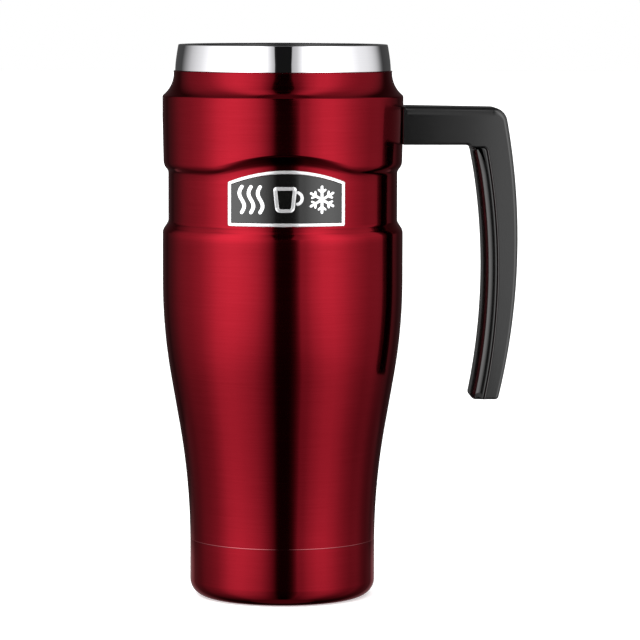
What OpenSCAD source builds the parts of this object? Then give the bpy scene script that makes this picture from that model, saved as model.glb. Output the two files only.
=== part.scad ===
// Insulated travel mug: vacuum body of two steel walls, side handle, and a
// screw-on drinking lid with a flip lever. Millimetres, +Z up. The origin is
// on the mug's axis in the plane of its foot ring. The handle points to +X
// and the badge faces -Y.

/* [Body] */
// Overall height, from the foot ring to the lid's rim
mug_height = 200; // [196:1:206]
// Diameter of the widest band
shoulder_d = 87; // [86.5:0.5:89]
// Diameter of the recessed waist that carries the badge
waist_d = 82.8; // [82:0.2:83.6]
// Diameter of the straight base cup, which sits in a cup holder
base_d = 67.1; // [66:0.1:68]
// Thickness of the outer steel wall
wall = 0.6; // [0.5:0.1:0.8]
// Inner radius of the drinking vessel just above its rounded bottom
vessel_r_low = 28.5; // [28:0.25:29]
// Inner radius of the drinking vessel just below the lid's seat
vessel_r_high = 34.5; // [34.4:0.05:34.6]

/* [Handle] */
// Depth of the handle across its side faces
handle_depth = 19; // [18:0.5:20]
// Height of the horizontal arm
arm_h = 14; // [13.5:0.25:14.5]
// Thickness of the soft grip strip on the finger side
grip_t = 5; // [4.5:0.1:5.5]

/* [Lid] */
// Height of the polished steel band
band_h = 9.1; // [8.6:0.1:9.4]
// Depth of the dish in the lid's top
dish_depth = 7; // [6.8:0.1:7.2]
// Rise of the lid in one full turn of its three-start thread
thread_lead = 15; // [14:0.5:16]
// Width of the drinking hole
hole_w = 12; // [10:0.5:13]

/* [Hidden] */

$fn = 96;
fit_gap = 0.05;                         // between pieces welded, glued or pressed together
run_gap = 0.3;                          // between the lid and the body it turns in
past = 1;                               // how far a cutting tool runs past what it cuts

shoulder_r = shoulder_d / 2;
waist_r = waist_d / 2;
base_r = base_d / 2;

// Heights along the body
seam_z = 21.05;                         // weld between shell and base cup
taper_z0 = 19;                          // level of the curved taper's foot, just under the seam
taper_z1 = 114.6;                       // top of the curved taper
taper_a = 9.9;                          // steepest lean of the taper, degrees
taper_r0 = 250;                         // radius of its hollow lower curve
taper_foot_a = asin((seam_z - taper_z0) / taper_r0);
taper_r1 = 200;                         // radius of its full upper curve
belly_r = shoulder_r - 0.05;            // widest radius below the waist
body_top = mug_height - band_h - run_gap;
shoulder_top = body_top - 8.6;
band_low_z = shoulder_top - 23.85;      // bottom of the upper band
waist_top = band_low_z - 4.45;
waist_low = waist_top - 16.8;
step_low_z = waist_low - 5;             // where the lower shoulder begins
shoulder_foot_r = shoulder_r - 0.35;     // radius at the foot of the upper band
collar_r = shoulder_r - 4.1;            // shell radius under the lid band
flare_r = 10.3;                         // radius of the concave collar

// Arch pressed into the upper band over the badge
arch_half_w = 24;
arch_rise = 5.4;
arch_foot_z = band_low_z - 1.85;
arch_reach = 3;                         // how far the cut runs down over the waist

// Liner
liner_t = 0.6;
liner_floor = 9;
liner_corner = 7;
neck_r = 36.2;                          // inner radius of the threaded neck
neck_top = body_top + 4.9;
seat_z = body_top - 13.15;              // inner foot of the gasket's seat

// Lid
plug_r = 34.9;                          // radius of the plug behind its thread
plug_t = 1.3;
plug_low = seat_z - 1.35;
rim_z = mug_height;
dish_r = 31.8;
dish_z = rim_z - dish_depth;
lid_floor_t = 1.8;
bridge_z = neck_top + 0.5;              // underside of the ring over the neck
starts = 3;
thread_pitch = thread_lead / starts;
ridge_root = 0.25;                      // how deep a ridge is sunk in its wall
ridge_gap = 0.35;                       // from a ridge's crest to the other wall
thread_z = seat_z + 7.6;                // middle of the neck's ridges at their lower ends

// Drinking hole and lever
hole_y = -25.5;
hole_d = 6;
vent_y = -8;
vent_r = 1;
pivot_y = 3;
pivot_z = dish_z + 3.4;
pin_r = 1;
hub_r = 2.4;
hub_w = 16.8;
ear_r = 2.5;
ear_t = 2;
lever_tip = -30.3;

// Handle, in its side view
arm_top = body_top - 12.5;
arm_low = arm_top - arm_h;
outer_c = [-158.1, 129.2];              // centre of the outer curve
outer_r = 242.7;
inner_c = [-154.2, 118.9];              // centre of the finger-side curve
inner_r = 226.45;
handle_low = 72;                        // lower tip
elbow_r = 5.5;                          // outer corner of the elbow
crook_r = 2.5;                          // inner corner of the elbow
tip_r_out = 1.4;                        // corners of the lower tip
tip_r_in = 1.8;
screw_x = [50.5, 57.5];

// ---------------------------------------------------------------- helpers

// Points on an arc about c, from angle a0 to a1
function arc(c, r, a0, a1, n = 8) =
    [for (i = [0:n]) let (a = a0 + (a1 - a0) * i / n)
        [c[0] + r * cos(a), c[1] + r * sin(a)]];

// A flat slot with round ends, w long in X and d across
module slot(w, d) {
    square([w - d, d], center = true);
    for (s = [-1, 1]) translate([s * (w - d) / 2, 0]) circle(d = d);
}

// A square with round corners
module round_rect(w, h, r) {
    square([w - 2 * r, h], center = true);
    square([w, h - 2 * r], center = true);
    for (x = [-1, 1], y = [-1, 1])
        translate([x * (w / 2 - r), y * (h / 2 - r)]) circle(r);
}

// Ring between two radii
module tube(r1, r2, z0, z1) {
    translate([0, 0, z0]) difference() {
        cylinder(r = r2, h = z1 - z0);
        translate([0, 0, -past]) cylinder(r = r1, h = z1 - z0 + 2 * past);
    }
}

// Side-view outline (X, Z) extruded across Y
module side_extrude(depth) {
    rotate([90, 0, 0])
        translate([0, 0, -depth / 2]) linear_extrude(depth) children();
}

// One helical ridge: a trapezoid swept up the thread, low at both ends
module ridge(root_r, crest_r, z0, a0, sweep, n = 20) {
    root_w = thread_pitch * 0.46;
    crest_w = thread_pitch * 0.22;
    fade = 3;
    pts = [for (i = [0:n]) let (
            a = a0 + sweep * i / n,
            z = z0 + thread_lead * sweep * i / n / 360,
            e = max(0.25, min(1, i / fade, (n - i) / fade)),
            c = root_r + (crest_r - root_r) * e)
        for (p = [[root_r, -root_w / 2], [c, -crest_w / 2],
                  [c, crest_w / 2], [root_r, root_w / 2]])
            [p[0] * cos(a), p[0] * sin(a), z + p[1]]];
    inward = crest_r < root_r;
    sides = [for (i = [0:n - 1], k = [0:3]) let (
            a = 4 * i + k, b = 4 * i + (k + 1) % 4, c = a + 4, d = b + 4)
        each [[a, b, d], [a, d, c]]];
    caps = [[0, 2, 1], [0, 3, 2],
            [4 * n, 4 * n + 1, 4 * n + 2], [4 * n, 4 * n + 2, 4 * n + 3]];
    all = concat(sides, caps);
    polyhedron(pts, inward ? [for (f = all) [f[2], f[1], f[0]]] : all);
}

// ------------------------------------------------------------- steel body

// Outer face of the shell moved inwards by w, from the seam to the collar
function shell_line(w) = concat(
    arc([base_r + taper_r0, taper_z0], taper_r0 + w, 180 - taper_foot_a, 180 - taper_a, 8),
    arc([belly_r - taper_r1, taper_z1], taper_r1 - w, -taper_a, 0, 8),
    arc([belly_r - 4, step_low_z], 4 - w, 0, 40, 6),
    arc([waist_r + 2.2, waist_low], 2.2 + w, 220, 180, 5),
    arc([waist_r + 2.2, waist_top], 2.2 + w, 180, 142, 5),
    arc([shoulder_foot_r - 4.2, band_low_z], 4.2 - w, -38, 0, 5),
    [[shoulder_r - w, band_low_z + 16]],
    arc([shoulder_r - 0.8, shoulder_top - 0.8], 0.8 - w, 0, 48, 4),
    arc([collar_r + flare_r, shoulder_top + 7.85], flare_r + w, 229, 180, 9)
);

module outer_body() {
    rotate_extrude() polygon(concat(
        [[0, seam_z]], shell_line(0),
        [[collar_r, body_top - 0.6], [collar_r - 0.6, body_top], [0, body_top]]
    ));
}

module inner_body() {
    rotate_extrude() polygon(concat(
        [[0, seam_z - 1], [base_r - wall, seam_z - 1]], shell_line(wall),
        [[collar_r - wall, body_top - 1.2], [collar_r - 1.2, body_top - wall],
         [0, body_top - wall]]
    ));
}

// The arched part of the recess, in front view, grown by g
module arch_outline(g) {
    chord = arch_half_w + g;
    r = (chord * chord + arch_rise * arch_rise) / (2 * arch_rise);
    translate([0, arch_foot_z + arch_rise - r + g]) intersection() {
        circle(r);
        translate([-chord, r - arch_rise - arch_reach])
            square([2 * chord, arch_rise + 2 * arch_reach]);
    }
}

module arch_cut(g) {
    intersection() {
        rotate([90, 0, 0]) linear_extrude(shoulder_r + past) arch_outline(g);
        tube(waist_r - g, shoulder_r + past, waist_low, shoulder_top);
    }
}

module outer_shell() {
    color("firebrick") difference() {
        outer_body();
        arch_cut(0);
        difference() {
            inner_body();
            arch_cut(wall);
        }
        translate([0, 0, body_top - 3])
            cylinder(r = neck_r + liner_t + fit_gap, h = 3 + past);
    }
}

foot_round = 6;                         // rounding of the foot's outer corner
foot_r = base_r - foot_round;           // outer edge of the flat foot ring
recess_r = foot_r - 5;                  // and its inner edge
recess_z = 2.2;                         // height of the hollow under the foot
ledge_z = 1.25;                         // ledge that holds the base disc
ledge_w = 2;
floor_z = 3;                            // top of the cup's floor
pump_hole_r = 1;
cup_top = seam_z - 0.1;
spigot_h = 3;                           // collar that plugs into the shell

module base_cup() {
    spigot_r = base_r - wall - fit_gap;
    chamfer = 0.2;
    inner_round = foot_round - wall;
    color("firebrick") difference() {
        rotate_extrude() polygon(concat(
            [[0, recess_z], [recess_r - ledge_w, recess_z], [recess_r - ledge_w, ledge_z],
             [recess_r, ledge_z], [recess_r, 0]],
            arc([foot_r, foot_round], foot_round, -90, 0, 8),
            [[base_r, cup_top - chamfer], [base_r - chamfer, cup_top],
             [spigot_r, cup_top], [spigot_r, cup_top + spigot_h],
             [spigot_r - wall, cup_top + spigot_h]],
            arc([spigot_r - wall - inner_round, floor_z + inner_round], inner_round, 0, -90, 6),
            [[0, floor_z]]
        ));
        cylinder(r = pump_hole_r, h = floor_z + past);
    }
}

base_disc_t = 0.5;

module base_disc() {
    color("silver") translate([0, 0, ledge_z - fit_gap - base_disc_t])
        cylinder(r = recess_r - 0.4, h = base_disc_t);
}

// Bead of braze in the pump-out hole
module vacuum_seal() {
    bead_r = 2.4;
    plug = pump_hole_r - fit_gap;
    low = ledge_z + 0.1;
    color("darkgoldenrod") rotate_extrude() polygon([
        [0, low], [bead_r - 0.8, low], [bead_r, low + 0.35], [bead_r, recess_z - fit_gap],
        [plug, recess_z - fit_gap], [plug, floor_z + 0.2], [0, floor_z + 0.4]
    ]);
}

// Inner radius of the vessel's straight side at height z
function vessel_r(z) = vessel_r_low + (vessel_r_high - vessel_r_low)
    * (z - liner_floor - liner_corner) / (seat_z - liner_floor - liner_corner);

// Inside face of the liner moved outwards by w
function liner_line(w) = concat(
    [[0, liner_floor - w]],
    arc([vessel_r_low - liner_corner, liner_floor + liner_corner],
        liner_corner + w, -90, 0, 6),
    [[vessel_r_high + w, seat_z - w * 0.4],
     [neck_r + w, seat_z + neck_r - vessel_r_high - w * 0.4]]
);

module inner_liner() {
    line_in = liner_line(0);
    line_out = liner_line(liner_t);
    lip = liner_t / 2;
    color("lightgray") union() {
        rotate_extrude() polygon(concat(
            line_out,
            [[neck_r + liner_t, neck_top - lip]],
            arc([neck_r + lip, neck_top - lip], lip, 0, 180, 6),
            [for (i = [len(line_in) - 1:-1:0]) line_in[i]]
        ));
        for (k = [0:starts - 1])
            ridge(neck_r + ridge_root, plug_r + ridge_gap, thread_z, k * 360 / starts, 105);
    }
}

module foil_wrap() {
    gap = 0.2;
    t = 0.15;
    z0 = 24;
    z1 = seat_z - 8;
    color("gold") rotate_extrude() polygon([
        for (p = [[z0, 0], [z1, 0], [z1, t], [z0, t]])
            [vessel_r(p[0]) + liner_t + gap + p[1], p[0]]
    ]);
}

getter_top = liner_floor - liner_t - fit_gap;
getter_cup_r = 5;
getter_cup_h = 2.6;
getter_sheet = 0.3;

// Pressed cup with a flange that is spot-welded under the liner
module getter_cup() {
    flange_r = getter_cup_r + 2.5;
    color("silver") rotate_extrude() polygon([
        [0, getter_top - getter_cup_h], [getter_cup_r, getter_top - getter_cup_h],
        [getter_cup_r, getter_top - getter_sheet], [flange_r, getter_top - getter_sheet],
        [flange_r, getter_top], [getter_cup_r - getter_sheet, getter_top],
        [getter_cup_r - getter_sheet, getter_top - getter_cup_h + getter_sheet],
        [0, getter_top - getter_cup_h + getter_sheet]
    ]);
}

module getter_pill() {
    low = getter_top - getter_cup_h + getter_sheet + fit_gap;
    color("dimgray") translate([0, 0, low])
        cylinder(r = getter_cup_r - getter_sheet - 2 * fit_gap, h = getter_top - low - 0.2);
}

// ------------------------------------------------------------------ badge

badge_w = 41.4;
badge_low = waist_low - 0.2;
badge_side_h = 15.6;
badge_rise = 4.2;
badge_corner = 1.6;
badge_t = 0.6;                          // thickness of the plate
frame_t = 0.9;                          // and of the bright frame round it
frame_w = 1.2;

// Plain cartouche in front view, shrunk by s: straight sides, arched top
module badge_outline(s) {
    w = badge_w / 2 - s;
    r = (w * w + badge_rise * badge_rise) / (2 * badge_rise);
    top = badge_low + badge_side_h + badge_rise - s;
    tall = 2 * (badge_side_h + badge_rise);
    intersection() {
        translate([0, top - r]) circle(r);
        translate([0, badge_low + s + tall / 2]) round_rect(2 * w, tall, badge_corner - s / 2);
    }
}

// A front-view outline wrapped on the waist between two radii
module on_waist(r0, r1) {
    intersection() {
        rotate([90, 0, 0]) linear_extrude(shoulder_r) children();
        tube(r0, r1, badge_low - past, badge_low + badge_side_h + badge_rise + past);
    }
}

module badge_plate() {
    color("dimgray") on_waist(waist_r + fit_gap, waist_r + badge_t)
        badge_outline(frame_w + fit_gap);
}

module badge_frame() {
    color("whitesmoke") on_waist(waist_r + fit_gap, waist_r + frame_t) difference() {
        badge_outline(0);
        badge_outline(frame_w);
    }
}

// ----------------------------------------------------------------- handle

bracket_z = (arm_top + arm_low) / 2;
tongue_h = 8;
tongue_w = 11;
tongue_end = 61;
pad_h = 11;                             // pad that is welded to the band
pad_w = 16;
pad_t = 0.85;
tapped_r = 1.25;                        // thread of the handle's screws
screw_hole_r = 1.6;
counterbore_r = 3;
counterbore_h = 1.8;

// Box centred on the bracket's height, from one X to another, grown by g
module bracket_box(x0, x1, w, h, g) {
    translate([x0, -w / 2 - g, bracket_z - h / 2 - g])
        cube([x1 - x0, w + 2 * g, h + 2 * g]);
}

module handle_bracket() {
    pad_r = shoulder_r + fit_gap;
    color("silver") difference() {
        union() {
            intersection() {
                tube(pad_r, pad_r + pad_t, arm_low, arm_top);
                bracket_box(30, 60, pad_w, pad_h, 0);
            }
            bracket_box(pad_r + pad_t / 2, tongue_end, tongue_w, tongue_h, 0);
        }
        for (x = screw_x)
            translate([x, 0, arm_low]) cylinder(r = tapped_r, h = arm_h);
    }
}

// Centre of a round of radius r, at height z, that touches a circle of radius
// big about c from inside (s = -1) or outside (s = 1)
function touching(c, big, r, z, s) =
    [c[0] + sqrt(pow(big + s * r, 2) - pow(z - c[1], 2)), z];

function lean(c, p) = atan2(p[1] - c[1], p[0] - c[0]);

// Whole side view of the handle: arm, elbow and grip in one outline
function handle_points() = let (
        elbow = touching(outer_c, outer_r, elbow_r, arm_top - elbow_r, -1),
        tip_out = touching(outer_c, outer_r, tip_r_out, handle_low + tip_r_out, -1),
        tip_in = touching(inner_c, inner_r, tip_r_in, handle_low + tip_r_in, 1),
        crook = touching(inner_c, inner_r, crook_r, arm_low - crook_r, -1))
    concat(
        [[40, arm_low], [40, arm_top]],
        arc(elbow, elbow_r, 90, lean(outer_c, elbow), 8),
        arc(outer_c, outer_r, lean(outer_c, elbow), lean(outer_c, tip_out), 16),
        arc(tip_out, tip_r_out, lean(outer_c, tip_out), -90, 4),
        arc(tip_in, tip_r_in, -90, lean(inner_c, tip_in) - 180, 6),
        arc(inner_c, inner_r, lean(inner_c, tip_in), lean(inner_c, crook), 16),
        arc(crook, crook_r, lean(inner_c, crook), 90, 5)
    );

// The grip strip's part of that side view, grown by g
module grip_zone(g) {
    intersection() {
        difference() {
            translate(inner_c) circle(inner_r + grip_t + g, $fn = 720);
            translate(inner_c) circle(inner_r - 1.2, $fn = 720);
        }
        translate([60, handle_low - 1])
            square([20, arm_low - crook_r - handle_low + 1 + g]);
    }
}

module handle_shell() {
    slack = 0.2;
    color("black") difference() {
        side_extrude(handle_depth) polygon(handle_points());
        side_extrude(handle_depth + 2 * past) grip_zone(fit_gap);
        cylinder(r = shoulder_r + 2 * fit_gap, h = mug_height);
        intersection() {
            cylinder(r = shoulder_r + fit_gap + pad_t + slack, h = mug_height);
            bracket_box(30, 60, pad_w, pad_h, slack);
        }
        bracket_box(30, tongue_end + slack, tongue_w, tongue_h, slack);
        for (x = screw_x) translate([x, 0, arm_low - past]) {
            cylinder(r = screw_hole_r, h = arm_h / 2);
            cylinder(r = counterbore_r, h = counterbore_h + past);
        }
    }
}

module handle_grip() {
    color("black") side_extrude(handle_depth - 0.4) intersection() {
        polygon(handle_points());
        grip_zone(0);
    }
}

module handle_screws() {
    head_h = counterbore_h - 0.25;
    for (x = screw_x) color("silver") translate([x, 0, arm_low]) {
        translate([0, 0, 0.2]) difference() {
            cylinder(r = counterbore_r - 0.2, h = head_h);
            translate([0, 0, -past]) cylinder(r = 1.3, h = 0.9 + past, $fn = 6);
        }
        translate([0, 0, head_h]) cylinder(r = tapped_r - fit_gap, h = 8.6);
    }
}

// -------------------------------------------------------------------- lid

band_low = body_top + run_gap;
band_low_r = collar_r - 0.5;
band_top_r = collar_r - 1.6;
band_t = 0.5;

// The steel band's face moved inwards by w: a shallow barrel, closing upwards
function band_line(w, top) = [for (i = [0:6]) let (t = i / 6)
    [band_low_r - w - (band_low_r - band_top_r) * pow(t, 1.5), band_low + (top - band_low) * t]];

module lid_band() {
    edge = 0.35;
    color("silver") rotate_extrude() polygon(concat(
        band_line(0, rim_z - edge),
        [[band_top_r - 0.2, rim_z], [band_top_r - band_t, rim_z]],
        [for (i = [6:-1:0]) band_line(band_t, rim_z - 2 * edge)[i]]
    ));
}

// The drinking hole and the vent, cut right through the lid
module hole_cuts() {
    translate([0, hole_y, plug_low - past]) linear_extrude(mug_height) slot(hole_w, hole_d);
    translate([0, vent_y, plug_low - past]) cylinder(r = vent_r, h = mug_height);
}

module lid_top() {
    skirt_r = neck_r + liner_t + run_gap;
    skirt_low = band_low + 0.3;
    in_band = band_t + fit_gap;
    lip = 1.2;                          // rounding of the dish's edge
    fillet = 2;                         // and of its floor
    color("#1a1a1a") {
        difference() {
            rotate_extrude() polygon(concat(
                [[0, dish_z - lid_floor_t], [plug_r - plug_t, dish_z - lid_floor_t],
                 [plug_r - plug_t, bridge_z], [skirt_r, bridge_z],
                 [skirt_r, skirt_low], [band_low_r - in_band - 0.2, skirt_low]],
                [for (i = [1:6]) band_line(in_band, rim_z - 0.6)[i]],
                [[band_top_r - in_band, rim_z - 0.3]],
                arc([dish_r + 2.6, rim_z - 1], 1, 60, 90, 2),
                arc([dish_r + lip, rim_z - lip], lip, 90, 180, 4),
                arc([dish_r - fillet, dish_z + fillet], fillet, 0, -90, 5),
                [[0, dish_z]]
            ));
            hole_cuts();
        }
        for (s = [-1, 1]) lever_ear(s * (hub_w / 2 + run_gap + ear_t / 2));
    }
}

// Cylinder along X on the lever's axis
module cross_pin(r, w) {
    translate([0, pivot_y, pivot_z]) rotate([0, 90, 0]) cylinder(r = r, h = w, center = true);
}

module lever_ear(x) {
    difference() {
        translate([x, 0, 0]) {
            cross_pin(ear_r, ear_t);
            translate([-ear_t / 2, pivot_y - ear_r, dish_z - 0.2])
                cube([ear_t, 2 * ear_r, pivot_z - dish_z + 0.2]);
        }
        cross_pin(pin_r, 2 * hub_w);
    }
}

module lever_pin() {
    color("silver") cross_pin(pin_r, hub_w + 2 * (run_gap + ear_t));
}

groove_r = vessel_r_high - 1.3;         // floor of the groove that holds the gasket
flange_r = vessel_r_high - run_gap;     // flange under the gasket
flange_h = 1.4;
groove_top = plug_low + 5.4;
plug_floor_t = 1.5;

module lid_plug() {
    inner_r = plug_r - plug_t + fit_gap;
    edge = 0.5;
    color("#1a1a1a") {
        difference() {
            union() {
                rotate_extrude() polygon([
                    [0, plug_low], [flange_r - edge, plug_low], [flange_r, plug_low + edge],
                    [flange_r, plug_low + flange_h], [groove_r, plug_low + flange_h],
                    [groove_r, groove_top], [plug_r - edge, groove_top],
                    [plug_r, groove_top + edge], [plug_r, bridge_z - fit_gap],
                    [inner_r, bridge_z - fit_gap], [inner_r, groove_top + 2],
                    [groove_r - plug_t, groove_top], [groove_r - plug_t, plug_low + plug_floor_t],
                    [0, plug_low + plug_floor_t]
                ]);
                for (k = [0:starts - 1])
                    ridge(plug_r - ridge_root, neck_r - ridge_gap,
                          thread_z - thread_pitch / 2, k * 360 / starts + 10, 80);
            }
            hole_cuts();
        }
        ducts();
    }
}

// Walls that carry the drinking hole and the vent down through the plug
module ducts() {
    duct_wall = 1.2;
    low = plug_low + plug_floor_t / 2;
    high = dish_z - lid_floor_t - fit_gap;
    translate([0, hole_y, low]) linear_extrude(high - low) difference() {
        slot(hole_w + 2 * duct_wall, hole_d + 2 * duct_wall);
        slot(hole_w, hole_d);
    }
    translate([0, vent_y, 0]) tube(vent_r, vent_r + duct_wall, low, high);
}

// Silicone ring with two soft lips
module lid_gasket() {
    low = plug_low + flange_h + 0.15;
    in_r = groove_r + 0.2;
    color("gainsboro") rotate_extrude() polygon([
        [in_r, low], [plug_r - 0.55, low], [plug_r + 0.15, low + 0.8],
        [plug_r + 0.15, low + 1.6], [plug_r - 0.35, low + 2],
        [plug_r + 0.05, low + 2.4], [plug_r + 0.05, low + 3.2],
        [plug_r - 0.3, low + 3.6], [in_r, low + 3.6]
    ]);
}

// Hook under the plug for the string of a tea bag
module tea_hook() {
    pad_t = 1.2;
    drop = 6.8;
    bar = 2.2;
    color("#1a1a1a") translate([0, 9, plug_low - fit_gap - pad_t]) {
        translate([-5, -2.5, 0]) cube([10, 5, pad_t]);
        side_extrude(3) {
            translate([-bar / 2, -drop]) square([bar, drop]);
            translate([-bar / 2, -drop - bar]) square([3 * bar, bar]);
            translate([2 * bar - bar / 2, -drop - bar]) square([bar, 2 * bar]);
        }
    }
}

// ------------------------------------------------------------------ lever

under_z = dish_z + 2.6;                 // underside of the lever's beam

module lever() {
    color("#262626") difference() {
        union() {
            intersection() {
                translate([0, 0, dish_z]) linear_extrude(dish_depth) lever_plan();
                lever_side(hub_w + 2 * past);
            }
            cross_pin(hub_r, hub_w);
        }
        cross_pin(pin_r + 0.07, 2 * hub_w);
    }
}

// Plan view: broad at the hub, narrower at the drinking end
module lever_plan() {
    tip_w = hub_w - 1.6;
    tip_r = 5;
    corner = [tip_w / 2 - tip_r, lever_tip + tip_r];
    polygon(concat(
        [[hub_w / 2, pivot_y], [hub_w / 2, -8], [tip_w / 2, -16]],
        arc(corner, tip_r, 0, -90, 6),
        arc([-corner[0], corner[1]], tip_r, -90, -180, 6),
        [[-tip_w / 2, -16], [-hub_w / 2, -8], [-hub_w / 2, pivot_y]]
    ));
}

// Side view: a low beam that rises to a thumb lip at its tip
module lever_side(w) {
    rotate([90, 0, 90]) translate([0, 0, -w / 2]) linear_extrude(w) polygon([
        [pivot_y, pivot_z + hub_r], [pivot_y, pivot_z - hub_r / 2],
        [-2, under_z - 0.2], [-12, under_z], [lever_tip, under_z],
        [lever_tip, under_z + 3], [lever_tip + 2, under_z + 3.7],
        [lever_tip + 6, under_z + 3], [-16, under_z + 2.6], [-6, under_z + 2.9]
    ]);
}

module lever_seal() {
    disc_low = 0.1;
    color("gainsboro") translate([0, hole_y, 0]) {
        translate([0, 0, dish_z + disc_low])
            linear_extrude(under_z - fit_gap - dish_z - disc_low) slot(hole_w + 2, hole_d + 2);
        translate([0, 0, dish_z - 0.8])
            linear_extrude(1.2) slot(hole_w - 0.8, hole_d - 0.8);
    }
}

module vent_seal() {
    disc_low = 0.1;
    color("gainsboro") translate([0, vent_y, 0]) {
        translate([0, 0, dish_z + disc_low])
            cylinder(r = vent_r + 1.2, h = under_z - 0.1 - fit_gap - dish_z - disc_low);
        translate([0, 0, dish_z - 0.4]) cylinder(r = vent_r - 0.35, h = 1);
    }
}

// -------------------------------------------------------------- node list

outer_shell();
base_cup();
base_disc();
vacuum_seal();
inner_liner();
foil_wrap();
getter_pill();
getter_cup();
badge_plate();
badge_frame();
handle_bracket();
handle_shell();
handle_grip();
handle_screws();
lid_gasket();
lid_band();
lid_top();
lid_plug();
lever_pin();
tea_hook();
lever();
lever_seal();
vent_seal();
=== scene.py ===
"""Looks of the insulated travel mug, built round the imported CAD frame. Metres, +Z up.

The handle points to +X and the badge faces -Y. Bodies: mug, seal, lid and lever.
"""
from math import asin, atan2, cos, degrees, exp, hypot, log1p, pi, radians, sin, sqrt, tan

import bmesh
import bpy
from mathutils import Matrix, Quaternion, Vector


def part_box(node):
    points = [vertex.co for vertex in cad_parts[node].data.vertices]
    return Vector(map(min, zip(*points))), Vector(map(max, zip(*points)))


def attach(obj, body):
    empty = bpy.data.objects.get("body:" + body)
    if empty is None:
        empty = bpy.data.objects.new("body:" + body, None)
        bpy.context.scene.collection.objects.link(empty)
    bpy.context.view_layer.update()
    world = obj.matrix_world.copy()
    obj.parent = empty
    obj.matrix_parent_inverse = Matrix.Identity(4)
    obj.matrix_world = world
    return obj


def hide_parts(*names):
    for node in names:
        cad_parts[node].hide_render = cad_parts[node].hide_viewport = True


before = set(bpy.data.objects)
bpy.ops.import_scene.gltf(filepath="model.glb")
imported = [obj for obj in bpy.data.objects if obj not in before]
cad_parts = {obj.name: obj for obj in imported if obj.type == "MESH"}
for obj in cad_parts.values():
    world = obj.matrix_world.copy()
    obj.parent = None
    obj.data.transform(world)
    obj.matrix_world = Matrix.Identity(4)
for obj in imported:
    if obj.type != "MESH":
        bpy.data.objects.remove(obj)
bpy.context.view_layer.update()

MM = 0.001
TURN_STEPS = 192  # facets round a turned piece

# ---- sizes from the frame

shell_low, shell_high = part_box("outer_shell")
_, cup_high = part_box("base_cup")
_, liner_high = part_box("inner_liner")
frame_low, frame_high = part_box("badge_frame")
shank_low, shank_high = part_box("handle_shell")
_, strip_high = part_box("handle_grip")
band_box_low, band_box_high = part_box("lid_band")
plug_low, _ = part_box("lid_plug")
gasket_low, gasket_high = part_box("lid_gasket")
lever_low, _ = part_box("lever")
pin_low, pin_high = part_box("lever_pin")
seal_low, seal_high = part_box("lever_seal")
vent_low, vent_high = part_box("vent_seal")
hook_low, hook_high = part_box("tea_hook")

WALL = 0.6 * MM
SHOULDER_R = shell_high.x  # widest band
BODY_TOP = shell_high.z
SEAM_Z = shell_low.z  # weld between the shell and the base cup
BASE_R = cup_high.x
WAIST_R = SHOULDER_R - 2.1 * MM
BELLY_R = SHOULDER_R - 0.05 * MM
COLLAR_R = SHOULDER_R - 4.1 * MM
BAND_FOOT_R = SHOULDER_R - 0.35 * MM  # foot of the upper band
SHOULDER_TOP = BODY_TOP - 8.6 * MM
BAND_LOW_Z = SHOULDER_TOP - 23.85 * MM
WAIST_TOP = BAND_LOW_Z - 4.45 * MM
WAIST_LOW = WAIST_TOP - 16.8 * MM
STEP_LOW_Z = WAIST_LOW - 5 * MM
RIM_Z = band_box_high.z


# ---- mesh helpers

def arc(cx, cz, r, a0, a1, n):
    """n + 1 points on an arc about (cx, cz), from a0 to a1 degrees."""
    angles = [radians(a0 + (a1 - a0) * i / n) for i in range(n + 1)]
    return [(cx + r * cos(a), cz + r * sin(a)) for a in angles]


def full_turn(steps):
    """The angles of a whole turn."""
    return [2 * pi * k / steps for k in range(steps)]


def mix(a, b, t):
    return a + (b - a) * t


def smoothstep(t):
    t = min(1.0, max(0.0, t))
    return t * t * (3 - 2 * t)


def along(knots, t):
    """Value at t of a smooth line through (t, value) knots."""
    if t <= knots[0][0]:
        return knots[0][1]
    for (t0, v0), (t1, v1) in zip(knots, knots[1:]):
        if t <= t1:
            return mix(v0, v1, smoothstep((t - t0) / (t1 - t0)))
    return knots[-1][1]


def from_level(z, *steps):
    """(height, value) knots from steps in millimetres above a level."""
    return tuple((z + step * MM, value) for step, value in steps)


def soften(points, radius, n=4):
    """Rounds the corners of a closed outline. A point may carry its own radius as a third number."""
    out = []
    for i, point in enumerate(points):
        p = Vector(point[:2])
        r = point[2] if len(point) > 2 else radius
        before = Vector(points[i - 1][:2]) - p
        after = Vector(points[(i + 1) % len(points)][:2]) - p
        half = before.angle(after) / 2
        if r == 0 or half > radians(84):
            out.append(tuple(p))
            continue
        run = min(r / tan(half), 0.45 * before.length, 0.45 * after.length)
        centre = p + (before.normalized() + after.normalized()).normalized() * run / cos(half)
        start = p + before.normalized() * run - centre
        end = p + after.normalized() * run - centre
        sweep = atan2(start.x * end.y - start.y * end.x, start.dot(end))
        for k in range(n + 1):
            a = sweep * k / n
            out.append((centre.x + start.x * cos(a) - start.y * sin(a),
                        centre.y + start.x * sin(a) + start.y * cos(a)))
    return out


def inset(points, distance):
    """Moves a closed counter-clockwise outline inwards. distance is one number or one per point."""
    count = len(points)
    out = []
    for i, (x, z) in enumerate(points):
        d = distance[i] if isinstance(distance, list) else distance
        a = Vector((x, z)) - Vector(points[i - 1])
        b = Vector(points[(i + 1) % count]) - Vector((x, z))
        na = Vector((-a.y, a.x)).normalized()
        nb = Vector((-b.y, b.x)).normalized()
        n = (na + nb).normalized()
        reach = d / max(0.5, n.dot(na))
        out.append((x + n.x * reach, z + n.y * reach))
    return out


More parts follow.
